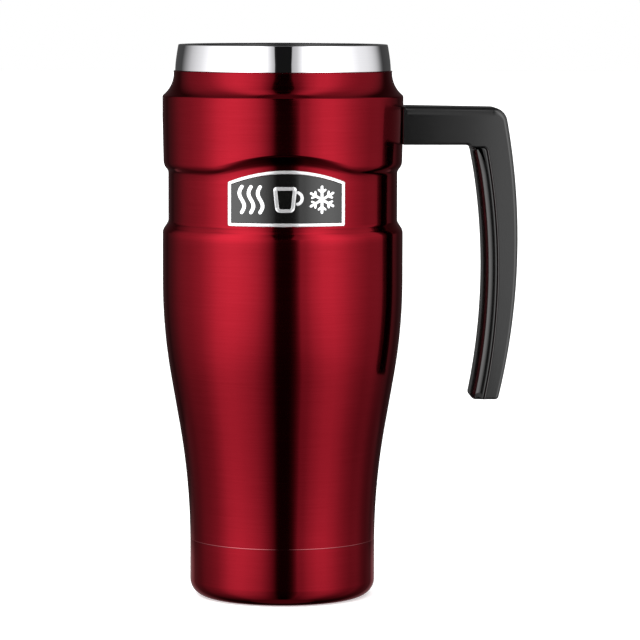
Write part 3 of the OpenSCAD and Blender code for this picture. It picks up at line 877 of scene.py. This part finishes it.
def build_handle_shell():
    """The black arm and grip, open along its finger side for the grip strip."""
    gap = 0.05 * MM
    elbow = touching(OUTER_C, OUTER_R, ELBOW_R, ARM_TOP - ARM_FALL - ELBOW_R, -1)
    tip = touching(OUTER_C, OUTER_R, TIP_R_OUT, HANDLE_LOW + TIP_R_OUT, -1)
    elbow_lean, tip_lean = lean(OUTER_C, elbow), lean(OUTER_C, tip)
    parting = parting_line(INNER_R + GRIP_T + gap, 1.6 * MM, GRIP_TOP + gap)
    crook = crook_arc(GRIP_TOP + gap, ARM_LOW, 6)
    root_low, root_top = ROOT_R + ROOT_ROUND_LOW, ROOT_R + ROOT_ROUND_TOP
    outline = edged(
        (arc(*elbow, ELBOW_R, 90, elbow_lean, 14), TOP_EDGE, SIDE_EDGE),
        (arc(*OUTER_C, OUTER_R, elbow_lean, tip_lean, 40)[1:], SIDE_EDGE, LOW_EDGE),
        (arc(*tip, TIP_R_OUT, tip_lean, -90, 7)[1:], LOW_EDGE, TIP_EDGE),
        ([(parting[0][0] + 1.2 * MM, HANDLE_LOW)], TIP_EDGE),
        (parting + [(mix(parting[-1][0], crook[0][0], 0.6), GRIP_TOP + gap)], GROOVE_EDGE),
        (crook, GROOVE_EDGE, 1.0 * MM),
        ([(mix(crook[-1][0], root_low, i / 8), ARM_LOW) for i in range(1, 9)], LOW_EDGE),
        (arc(root_low, ARM_LOW + ROOT_ROUND_LOW, ROOT_ROUND_LOW, -90, -180, 4)[1:], ROOT_EDGE),
        ([(ROOT_R, mix(ARM_LOW, ARM_TOP, i / 6)) for i in range(1, 6)], ROOT_EDGE),
        (arc(root_top, ARM_TOP - ROOT_ROUND_TOP, ROOT_ROUND_TOP, 180, 90, 6), 0.8 * MM, TOP_EDGE),
        ([(mix(root_top, elbow[0], i / 10), ARM_TOP - ARM_FALL * i / 10) for i in range(1, 10)], TOP_EDGE))
    outline.reverse()
    shell = rounded_slab("handle_shell_skin", outline, shank_high.y, on_body)
    head_r, shaft_r, seat = 3 * MM, 1.6 * MM, 1.8 * MM
    flare = 0.35 * MM
    bore = [(head_r + flare, -1 * MM), (head_r + flare, 0.0), (head_r, flare), (head_r, seat),
            (shaft_r, seat), (shaft_r, 6 * MM)]
    for x in SCREWS_X:
        tool = revolve("bore", bore, steps=48)
        tool.location = (x, 0, ARM_LOW)
        cut(shell, tool)
    finish_piece(shell, "mug", BLACK, "handle_shell")


def build_grip():
    """The finger-side strip, set in the handle's open side."""
    tip = touching(INNER_C, INNER_R, TIP_R_IN, HANDLE_LOW + TIP_R_IN, 1)
    tip_lean = lean(INNER_C, tip)
    parting = parting_line(INNER_R + GRIP_T, 1.55 * MM, GRIP_TOP)
    crook = crook_arc(0, GRIP_TOP - 0.5 * MM, 4)
    crook.reverse()
    corner_x = crook[0][0]
    turn = touching(INNER_C, INNER_R, CROOK_R, ARM_LOW - CROOK_R, -1)
    side = arc(*INNER_C, INNER_R, lean(INNER_C, turn), tip_lean, 48)
    outline = edged(
        (parting + [(mix(parting[-1][0], corner_x, 0.55), GRIP_TOP)], GROOVE_EDGE),
        ([(corner_x + 0.5 * MM, GRIP_TOP)], 0.75 * MM),
        (crook, 1.2 * MM, CROOK_EDGE))
    for i in range(1, len(side)):
        outline.append((*side[i], mix(CROOK_EDGE, FINGER_EDGE, smoothstep(i / 5))))
    outline += edged(
        (arc(*tip, TIP_R_IN, tip_lean + 180, 270, 8)[1:], FINGER_EDGE, 1.2 * MM),
        ([(mix(tip[0], parting[0][0], 0.6), HANDLE_LOW)], TIP_EDGE))
    grip = rounded_slab("handle_grip_skin", outline, strip_high.y, lambda x, y, z: (x, y, z))
    finish_piece(grip, "mug", GRIP, "handle_grip")


# ---- lid

BAND_LOW = band_box_low.z
BAND_LOW_R = band_box_high.x
BAND_TOP_R = BAND_LOW_R - 1.1 * MM
BAND_T = 0.5 * MM
DISH_R = 31.8 * MM
DISH_Z = RIM_Z - 7 * MM
LID_FLOOR_T = 1.8 * MM
PLUG_T = 1.3 * MM
PLUG_LOW = plug_low.z
BRIDGE_Z = liner_high.z + 0.5 * MM
HOLE_Y = (seal_low.y + seal_high.y) / 2
HOLE_W = 12 * MM
HOLE_D = 6 * MM
HOLE_FLARE = 0.9 * MM
VENT_Y = (vent_low.y + vent_high.y) / 2
VENT_R = 1 * MM
PIVOT_Y = (pin_low.y + pin_high.y) / 2
PIVOT_Z = (pin_low.z + pin_high.z) / 2
HUB_R = 2.4 * MM
HUB_W = 16.8 * MM


def band_line(w, top, n):
    """The band's face moved inwards by w: a shallow barrel that closes upwards."""
    fall = BAND_LOW_R - BAND_TOP_R
    return [(BAND_LOW_R - w - fall * (i / n) ** 1.5, mix(BAND_LOW, top, i / n)) for i in range(n + 1)]


def build_band():
    """The polished band, rolled over at its rim."""
    edge = 0.35 * MM
    foot_edge = 0.08 * MM
    foot_z = BODY_TOP + 0.08 * MM  # just clear of the body
    outline = [(BAND_LOW_R - BAND_T, foot_z), (BAND_LOW_R - foot_edge, foot_z)]
    outline += [(BAND_LOW_R, foot_z + foot_edge)] + band_line(0, RIM_Z - edge, 14)[1:]
    outline += arc(BAND_TOP_R - edge, RIM_Z - edge, edge, 0, 90, 6)[1:]
    outline += [(BAND_TOP_R - BAND_T, RIM_Z)] + band_line(BAND_T, RIM_Z - 2 * edge, 14)[:0:-1]
    band = revolve("lid_band_skin", outline, cyclic=True)
    finish_piece(band, "lid", POLISHED, "lid_band")


def slot_loop(z, grow=0.0):
    """The drinking hole's outline at height z: a slot with round ends."""
    r = HOLE_D / 2 + grow
    reach = (HOLE_W - HOLE_D) / 2
    loop = arc(reach, HOLE_Y, r, -90, 90, 12) + arc(-reach, HOLE_Y, r, 90, 270, 12)
    return [(x, y, z) for x, y in loop]


def vent_loop(z, r):
    """A round outline about the vent at height z."""
    return [(r * cos(a), VENT_Y + r * sin(a), z) for a in full_turn(32)]


def pierce(target):
    """Cuts the drinking hole, with a softly flared mouth, and the vent."""
    below = PLUG_LOW - 1 * MM
    loops = [slot_loop(below)]
    for a in (radians(15 * i) for i in range(7)):
        loops.append(slot_loop(DISH_Z - HOLE_FLARE * (1 - sin(a)), HOLE_FLARE * (1 - cos(a))))
    loops.append(slot_loop(RIM_Z, HOLE_FLARE))
    cut(target, skin("hole_tool", loops))
    flare = 0.4 * MM
    rows = ((below, VENT_R), (DISH_Z - flare, VENT_R), (DISH_Z, VENT_R + flare), (RIM_Z, VENT_R + flare))
    cut(target, skin("vent_tool", [vent_loop(z, r) for z, r in rows]))


def drill_for_pin(target, x, r, reach):
    """Cuts the bore for the lever's pin, along X."""
    tool = revolve("bore", [(r, -reach), (r, reach)], steps=32)
    tool.rotation_euler = (0, pi / 2, 0)
    tool.location = (x, PIVOT_Y, PIVOT_Z)
    return cut(target, tool)


def lever_ear(x):
    """Lug that carries one end of the lever's pin."""
    r = 2.5 * MM
    foot = DISH_Z - 0.3 * MM
    flare = 1.2 * MM
    edge, foot_edge = 0.45 * MM, 0.1 * MM
    front, back = PIVOT_Y - r, PIVOT_Y + r
    outline = edged(
        (arc(PIVOT_Y, PIVOT_Z, r, 0, 180, 16) + [(front, DISH_Z + flare)], edge),
        (arc(front - flare, DISH_Z + flare, flare, 0, -90, 6)[1:], 0.3 * MM, foot_edge),
        ([(front - flare, foot), (back + flare, foot)], foot_edge),
        (arc(back + flare, DISH_Z + flare, flare, 270, 180, 6), foot_edge, 0.3 * MM))
    ear = rounded_slab("ear", outline, 1 * MM, lambda y, d, z: (x + d, y, z), 4)
    return drill_for_pin(ear, x, 1 * MM, 3 * MM)


def build_lid_top():
    """The dished black top, with its skirt, its holes and the lever's ears."""
    skirt_r = NECK_R + LINER_T + 0.3 * MM
    skirt_low = BAND_LOW + 0.3 * MM
    clear = BAND_T + 0.05 * MM
    lip, fillet, edge = 1.2 * MM, 2 * MM, 0.4 * MM
    tube_r = PLUG_R - PLUG_T
    outline = [(tube_r, DISH_Z - LID_FLOOR_T), (tube_r, BRIDGE_Z), (skirt_r, BRIDGE_Z)]
    outline += [(skirt_r, skirt_low), (BAND_LOW_R - clear - 0.2 * MM, skirt_low)]
    outline += band_line(clear, RIM_Z - 0.6 * MM, 8)[1:]
    outline += arc(BAND_TOP_R - clear - edge, RIM_Z - edge - 0.05 * MM, edge, 0, 90, 4)
    outline += arc(DISH_R + lip, RIM_Z - lip, lip, 90, 180, 10)
    outline += arc(DISH_R - fillet, DISH_Z + fillet, fillet, 0, -90, 10)
    lid = revolve("lid_top_skin", outline)
    pierce(lid)
    ear_x = HUB_W / 2 + 1.3 * MM
    combine(lid, lever_ear(-ear_x), lever_ear(ear_x))
    finish_piece(lid, "lid", LID, "lid_top")


def build_plug():
    """The threaded plug, with the gasket's groove and the walls of the duct and the vent."""
    groove_r = VESSEL_R_HIGH - 1.3 * MM
    flange_r = VESSEL_R_HIGH - 0.3 * MM
    flange_top = PLUG_LOW + 1.4 * MM
    groove_top = PLUG_LOW + 5.4 * MM
    edge = 0.5 * MM
    inner_r = PLUG_R - PLUG_T + 0.05 * MM
    top = BRIDGE_Z - 0.05 * MM
    outline = arc(flange_r - edge, PLUG_LOW + edge, edge, -90, 0, 5)
    outline += [(flange_r, flange_top), (groove_r, flange_top), (groove_r, groove_top)]
    outline += arc(PLUG_R - edge, groove_top + edge, edge, -90, 0, 5)
    outline += [(PLUG_R, top), (inner_r, top), (inner_r, groove_top + 2 * MM)]
    outline += [(groove_r - PLUG_T, groove_top), (groove_r - PLUG_T, PLUG_LOW + 1.5 * MM)]
    plug = revolve("lid_plug_skin", outline)
    pierce(plug)
    low, high = PLUG_LOW + 0.6 * MM, DISH_Z - LID_FLOOR_T - 0.05 * MM
    wall = 1.2 * MM
    corners = ((low, wall), (high, wall), (high, 0.0), (low, 0.0))
    duct = skin("duct", [slot_loop(z, grow) for z, grow in corners], cyclic=True)
    breather = skin("breather", [vent_loop(z, VENT_R + grow) for z, grow in corners], cyclic=True)
    ridges = [ridge(PLUG_R - RIDGE_ROOT, NECK_R - RIDGE_GAP, THREAD_Z - 2.5 * MM, 120 * k + 10, 80)
              for k in range(THREAD_STARTS)]
    combine(plug, duct, breather, *ridges)
    finish_piece(plug, "lid", LID, "lid_plug")


def build_gasket():
    """Silicone ring with two soft lips; its section is in millimetres in from the rim and up."""
    in_r = VESSEL_R_HIGH - 1.1 * MM
    low, high = gasket_low.z, gasket_low.z + 3.6 * MM
    lips = ((0.7, 0), (0, 0.8), (0, 1.6), (0.5, 2), (0.1, 2.4), (0.1, 3.2), (0.45, 3.6))
    section = [(in_r, low)] + [(gasket_high.x - x * MM, low + z * MM) for x, z in lips] + [(in_r, high)]
    ring = revolve("gasket_skin", soften(section, 0.35 * MM), cyclic=True)
    finish_piece(ring, "seal", SILICONE, "lid_gasket", sharp=60)


# ---- lever

LEVER_TIP = lever_low.y
UNDER_Z = DISH_Z + 2.6 * MM
BEAM_HALF = HUB_W / 2 - 0.8 * MM
LEVER_CROWN = 0.22 * MM
LEVER_EDGE = 0.8 * MM
TIP_CORNER = 5 * MM  # rounding of the tip's corners in plan
# (y, height) of the lever's top and underside, and (y, half width)
LEVER_TOP = ((LEVER_TIP, UNDER_Z + 3 * MM), (LEVER_TIP + 2 * MM, UNDER_Z + 3.7 * MM),
             (LEVER_TIP + 7.5 * MM, UNDER_Z + 2.7 * MM), (-16 * MM, UNDER_Z + 2.5 * MM),
             (-6 * MM, UNDER_Z + 2.8 * MM), (PIVOT_Y, PIVOT_Z + HUB_R))
LEVER_UNDER = ((-12 * MM, UNDER_Z), (-3.5 * MM, UNDER_Z - 0.1 * MM), (PIVOT_Y, PIVOT_Z - HUB_R))
LEVER_HALF = ((-17 * MM, BEAM_HALF), (-7 * MM, HUB_W / 2))


def lever_section(y, half, low, high, crown):
    """A rounded rectangle across the lever at y, with a slightly crowned top."""
    tall = high - low
    r_top = min(1.1 * MM, 0.48 * tall, 0.9 * half)
    r_low = min(0.6 * MM, 0.4 * tall, 0.9 * half)
    ring = arc(-half + r_low, low + r_low, r_low, 180, 270, 4)
    ring += arc(half - r_low, low + r_low, r_low, 270, 360, 4)
    ring += arc(half - r_top, high - r_top, r_top, 0, 90, 6)
    ring += [(mix(half - r_top, r_top - half, i / 8), high) for i in range(1, 8)]
    ring += arc(r_top - half, high - r_top, r_top, 90, 180, 6)
    return [(x, y, z - (crown * (x / half) ** 2 if z > high - r_top else 0)) for x, z in ring]


def tip_pull(y):
    """How far the rounded corners of the tip draw the sides in at y."""
    over = max(0.0, LEVER_TIP + TIP_CORNER - y)
    return TIP_CORNER - sqrt(max(0.0, TIP_CORNER ** 2 - over ** 2))


def build_lever():
    """The flip lever, from the round back of its hub along the beam to its front edge."""
    sections = []
    for i in range(9):
        a = radians(84 - 84 * i / 8)
        tall = HUB_R * cos(a)
        y = PIVOT_Y + HUB_R * sin(a)
        half = HUB_W / 2 - 0.5 * MM * (1 - cos(max(0.0, a - radians(40))))
        sections.append(lever_section(y, half, PIVOT_Z - tall, PIVOT_Z + tall, 0))
    steps = 44
    for i in range(1, steps + 1):
        y = mix(PIVOT_Y, LEVER_TIP + LEVER_EDGE, i / steps)
        half = along(LEVER_HALF, y) - tip_pull(y)
        crown = LEVER_CROWN * smoothstep(i / 10)
        sections.append(lever_section(y, half, along(LEVER_UNDER, y), along(LEVER_TOP, y), crown))
    for i in range(1, 6):
        a = radians(85 * i / 5)
        y = LEVER_TIP + LEVER_EDGE * (1 - sin(a))
        drop = LEVER_EDGE * (1 - cos(a))
        high = along(LEVER_TOP, y) - drop
        sections.append(lever_section(y, BEAM_HALF - tip_pull(y), UNDER_Z + drop, high, LEVER_CROWN))
    lever = skin("lever_skin", sections)
    drill_for_pin(lever, 0, 1.07 * MM, 20 * MM)
    finish_piece(lever, "lever", LID, "lever", sharp=50)


def build_seals():
    """Soft plugs under the lever for the drinking hole and the vent."""
    top = UNDER_Z - 0.02 * MM
    rows = from_level(seal_low.z, (0, -0.9), (0.12, -0.62), (0.35, -0.45))
    rows += from_level(DISH_Z, (0.1, -0.4), (0.1, 0.7), (0.25, 0.93), (0.5, 1.0))
    rows += from_level(top, (-0.4, 1.0), (-0.1, 0.9), (0, 0.7))
    seal = skin("lever_seal_skin", [slot_loop(z, grow * MM) for z, grow in rows])
    finish_piece(seal, "lever", SILICONE, "lever_seal", sharp=50)
    stem = VENT_R - 0.35 * MM
    rim = vent_high.y - VENT_Y
    edge = 0.2 * MM
    rows = from_level(vent_low.z, (0, stem - 0.25 * MM), (0.15, stem))
    rows += from_level(DISH_Z, (0.1, stem), (0.1, rim - edge), (0.3, rim))
    rows += from_level(vent_high.z, (-0.2, rim), (0, rim - edge))
    vent = skin("vent_seal_skin", [vent_loop(z, r) for z, r in rows])
    finish_piece(vent, "lever", SILICONE, "vent_seal", sharp=50)


def build_tea_hook():
    """Hook under the plug for the string of a tea bag."""
    y0 = (hook_low.y + hook_high.y) / 2
    low, top = hook_low.z, hook_high.z
    pad_low = top - 1.2 * MM
    root_z = pad_low + 0.3 * MM
    bar = 2.2 * MM
    out_x, in_x = 2.5 * bar, 1.5 * bar
    outline = [(-bar / 2, root_z, 0), (-bar / 2, low, 1 * MM), (out_x, low, 1 * MM),
               (out_x, low + 2 * bar, 0.9 * MM), (in_x, low + 2 * bar, 0.9 * MM),
               (in_x, low + bar, 0.6 * MM), (bar / 2, low + bar, 0.6 * MM), (bar / 2, root_z, 0)]
    outline = edged((soften(outline, 0, 5), 0.5 * MM))
    hook = rounded_slab("tea_hook_skin", outline, 1.5 * MM, lambda x, d, z: (x, y0 + d, z), 4)
    half_x, half_y = 5 * MM, 2.5 * MM
    plan = [(-half_x, -half_y), (half_x, -half_y), (half_x, half_y), (-half_x, half_y)]
    plan = soften(plan, 1.2 * MM, 6)
    rows = from_level(pad_low, (0, 0.4), (0.12, 0.12), (0.4, 0)) + ((top, 0),)
    pad = skin("pad", [[(x, y0 + y, z) for x, y in inset(plan, d * MM)] for z, d in rows])
    combine(hook, pad)
    finish_piece(hook, "lid", LID, "tea_hook")


# ---- carried-over nodes

def dress_cad_nodes():
    """CAD pieces that keep their shape and get their material."""
    looks = {"base_disc": STEEL, "vacuum_seal": BRAZE, "foil_wrap": COPPER, "getter_pill": PILL,
             "getter_cup": STEEL, "handle_bracket": STEEL, "handle_screws": STEEL, "lever_pin": POLISHED}
    for name, material in looks.items():
        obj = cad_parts[name]
        obj.data.materials.clear()
        obj.data.materials.append(material)


# ---- stage and lights

PEAK = 2.9  # radiance of the brightest part of the tent
TENT_R = 0.5
TENT_LOW, TENT_HIGH = -1.3, 2.4
SPLIT_LOW, SPLIT_HIGH = 0.168, 0.178  # heights between which the lower banks give way to the upper

# Brightness of the two banks of light by angle: degrees from the front, positive towards the handle.
BANK_MOST = 6.1
LEFT_CORE = ((-106, 1.55), (-97, 1.87), (-84, 2.6), (-73, 3.9), (-63, 5.4), (-52, 6.1), (-44, 6.0),
             (-34, 5.2), (-25, 4.0))
RIGHT_CORE = ((25, 3.85), (35, 5.2), (44, 5.3), (54, 4.4), (64, 3.2))
UPPER_LEFT = ((-180, 0.22), (-172, 0.2), (-165, 0.16), (-150, 0.13), (-137, 0.12), (-133, 0.27),
              (-128, 0.5), (-122, 0.8), (-115, 1.2), *LEFT_CORE, (-17, 2.2), (-13, 1.4), (-10.5, 1.0),
              (-9.9, 0.05), (-8, 0.016), (0, 0.016))
UPPER_RIGHT = ((0, 0.016), (6, 0.016), (6.5, 0.05), (7.1, 1.0), (12, 1.3), (16, 2.0), *RIGHT_CORE,
               (74, 2.45), (85, 2.0), (98, 1.8), (106, 1.55), (112, 1.25), (117, 0.9), (121, 0.55),
               (125, 0.25), (129, 0.1), (150, 0.14), (165, 0.16), (172, 0.2), (180, 0.22))
LOWER_LEFT = ((-180, 0.2), (-172, 0.17), (-165, 0.14), (-150, 0.12), (-143, 0.1), (-139, 0.2),
              (-131, 0.38), (-124, 0.65), (-115, 1.15), *LEFT_CORE, (-17, 2.3), (-13, 1.35),
              (-10.5, 0.75), (-9, 0.3), (-7.5, 0.08), (-5, 0.055), (0, 0.055))
LOWER_RIGHT = ((0, 0.055), (4.6, 0.055), (7, 0.15), (8.6, 0.26), (9.8, 0.42), (10.6, 0.7), (12.4, 1.15),
               (13.2, 1.75), (14, 2.3), (16, 2.4), (19, 2.6), *RIGHT_CORE, (74, 2.38), (85, 1.76),
               (98, 1.65), (104, 1.35), (112, 0.85), (121, 0.55), (130, 0.33), (137, 0.12), (150, 0.12),
               (165, 0.14), (172, 0.17), (180, 0.2))

# How much of the drift each angle takes low down; the angle is a share of 180 degrees from the front.
DRIFT = ((0, 0.0), (0.055, 0.12), (0.11, 0.48), (0.25, 1.0), (0.37, 1.0), (0.55, 0.3), (0.66, 0.0))

# Brightness by height, in metres.
TENT_RISE = ((-1.3, 0.12), (-1.0, 0.17), (-0.74, 0.24), (-0.5, 0.34), (-0.37, 0.44), (-0.28, 0.5),
             (-0.12, 0.58), (-0.076, 0.66), (-0.05, 0.78), (0.0, 0.88), (0.08, 1.0), (0.5, 1.0),
             (0.8, 0.88), (1.2, 0.8), (1.6, 0.7), (2.4, 0.3))


def tent_light():
    """The tent's glow, by angle from the front and by height."""
    glow = Graph(bpy.data.materials.new("light_tent"))
    glow.nodes.clear()
    place = glow.nodes.new("ShaderNodeNewGeometry")
    split = glow.nodes.new("ShaderNodeSeparateXYZ")
    glow.feed(split.inputs["Vector"], place.outputs["Position"])
    z = split.outputs["Z"]
    front = glow.maths("MULTIPLY", split.outputs["Y"], -1.0)
    angle = glow.maths("ARCTAN2", split.outputs["X"], front)
    angle = glow.maths("MULTIPLY", angle, 180 / pi)
    sign = glow.maths("SIGN", angle)
    aside = glow.maths("ABSOLUTE", angle)
    # The banks stand up to 6 degrees further apart high up.
    apart = glow.ranged(z, 0.0, 6.0, 0.28, 0.8)
    # Low down the brightest part of each bank lies further round, up to 9 degrees.
    drift = glow.ramp(glow.maths("DIVIDE", aside, 180.0), DRIFT)
    drift = glow.maths("MULTIPLY", drift, glow.ranged(z, 9.0, 0.0, -0.12, 0.06))
    aside = glow.maths("SUBTRACT", aside, glow.maths("ADD", apart, drift))
    aside = glow.maths("MAXIMUM", aside, 0.0)
    angle = glow.maths("MULTIPLY", aside, sign)
    turned_left = glow.ranged(angle, 0.0, 1.0, -180.0, 0.0)
    turned_right = glow.ranged(angle, 0.0, 1.0, 0.0, 180.0)

    def bank(left, right):
        one = glow.ramp(turned_left, [(1 + at / 180, level / BANK_MOST) for at, level in left])
        two = glow.ramp(turned_right, [(at / 180, level / BANK_MOST) for at, level in right])
        return glow.maths("MAXIMUM", one, two)

    high_up = glow.ranged(z, 0.0, 1.0, SPLIT_LOW, SPLIT_HIGH)
    low_down = glow.maths("SUBTRACT", 1.0, high_up)
    upper = glow.maths("MULTIPLY", bank(UPPER_LEFT, UPPER_RIGHT), high_up)
    lower = glow.maths("MULTIPLY", bank(LOWER_LEFT, LOWER_RIGHT), low_down)
    height = glow.ranged(z, 0.0, 1.0, TENT_LOW, TENT_HIGH)
    tall = TENT_HIGH - TENT_LOW
    rise = glow.ramp(height, [((at - TENT_LOW) / tall, level) for at, level in TENT_RISE])
    level = glow.maths("MULTIPLY", glow.maths("ADD", upper, lower), rise)
    # The white floor behind the mug, mirrored by the mug's outermost edges.
    behind = glow.ramp(glow.ranged(aside, 0.0, 1.0, 100.0, 180.0),
                       ((0.25, 0.0), (0.4, 0.3), (0.5, 0.4), (0.56, 1.0), (1.0, 1.0)))
    under = glow.ramp(glow.ranged(z, 0.0, 1.0, -0.6, 0.0),
                      ((0.0, 0.0), (0.4, 0.05), (0.9, 0.11), (0.925, 0.0), (1.0, 0.0)))
    level = glow.maths("ADD", level, glow.maths("MULTIPLY", behind, under))
    shine = glow.nodes.new("ShaderNodeEmission")
    out = glow.nodes.new("ShaderNodeOutputMaterial")
    glow.feed(shine.inputs["Strength"], glow.maths("MULTIPLY", level, PEAK))
    glow.feed(out.inputs["Surface"], shine.outputs["Emission"])
    return glow.owner


def build_tent():
    """A round light tent: soft banks of light left and right of a dark gap at the front."""
    steps = 128
    ring = full_turn(steps)
    verts = [(TENT_R * cos(a), TENT_R * sin(a), z) for z in (TENT_LOW, TENT_HIGH) for a in ring]
    faces = [(k, (k + 1) % steps, steps + (k + 1) % steps, steps + k) for k in range(steps)]
    tent = mesh_object("light_tent", verts, faces)
    tent.visible_camera = False
    tent.visible_shadow = False
    tent.data.materials.append(tent_light())


def build_floor():
    """Plain white floor. It is clear from below, so that the foot can be looked at."""
    half = 8.0
    corners = [(-half, -half, 0), (half, -half, 0), (half, half, 0), (-half, half, 0)]
    floor = mesh_object("floor", corners, [(0, 1, 2, 3)])
    floor.visible_glossy = False
    look = Look("floor_paint", (0.9, 0.9, 0.9), 0.0, 0.9)
    look.put("Base Color", look.tinted(look.noise(40), (0.89, 0.89, 0.89), (0.91, 0.91, 0.91)))
    look.put("Specular IOR Level", 0.0)
    look.put("Emission Color", (1, 1, 1, 1))
    look.put("Emission Strength", 0.45)
    clear = look.nodes.new("ShaderNodeBsdfTransparent")
    side = look.nodes.new("ShaderNodeNewGeometry")
    paint = look.either(side.outputs["Backfacing"], look.shader.outputs["BSDF"], clear.outputs["BSDF"])
    look.feed(look.nodes["Material Output"].inputs["Surface"], paint)
    floor.data.materials.append(look.owner)


def build_sky():
    """White to the camera, and a dim even fill for everything else."""
    sky = Graph(bpy.data.worlds.new("studio"))
    bpy.context.scene.world = sky.owner
    sky.nodes.clear()
    path = sky.nodes.new("ShaderNodeLightPath")
    seen = sky.nodes.new("ShaderNodeBackground")
    fill = sky.nodes.new("ShaderNodeBackground")
    out = sky.nodes.new("ShaderNodeOutputWorld")
    sky.feed(seen.inputs["Color"], (1, 1, 1, 1))
    sky.feed(fill.inputs["Color"], (0.22, 0.22, 0.225, 1))
    camera_ray = path.outputs["Is Camera Ray"]
    both = sky.either(camera_ray, fill.outputs["Background"], seen.outputs["Background"])
    sky.feed(out.inputs["Surface"], both)


def build_top_light():
    """Broad overhead light that whitens the floor and isn't mirrored in the metal."""
    data = bpy.data.lights.new("top_light", "SUN")
    data.energy = 3.3
    data.angle = radians(80)
    light = bpy.data.objects.new("top_light", data)
    light.rotation_euler = (radians(12), radians(-10), 0)
    light.visible_glossy = False
    bpy.context.scene.collection.objects.link(light)


def build_camera():
    """A long lens a little left of the mug's front, looking slightly down."""
    data = bpy.data.cameras.new("camera")
    data.lens = 216.6
    data.sensor_width = 36
    camera = bpy.data.objects.new("camera", data)
    distance = 1.392  # from the mug's axis
    place = radians(-2.0)  # round the mug, from -Y towards +X
    camera.location = (distance * sin(place), -distance * cos(place), 0.223)
    yaw, pitch = radians(2.558), radians(-5.04)
    aim = Vector((sin(yaw) * cos(pitch), cos(yaw) * cos(pitch), sin(pitch)))
    camera.rotation_mode = "QUATERNION"
    roll = Quaternion(aim, radians(-0.14))
    camera.rotation_quaternion = roll @ aim.to_track_quat("-Z", "Y")
    bpy.context.scene.collection.objects.link(camera)
    bpy.context.scene.camera = camera


build_camera()
build_sky()
build_tent()
build_floor()
build_top_light()
build_shell()
build_base_cup()
build_weld()
build_liner()
build_badge_frame()
build_badge_plate()
build_badge_motif()
build_handle_shell()
build_grip()
build_band()
build_lid_top()
build_plug()
build_gasket()
build_lever()
build_seals()
build_tea_hook()
dress_cad_nodes()
bpy.context.scene.view_settings.view_transform = "Standard"

bpy.context.view_layer.update()
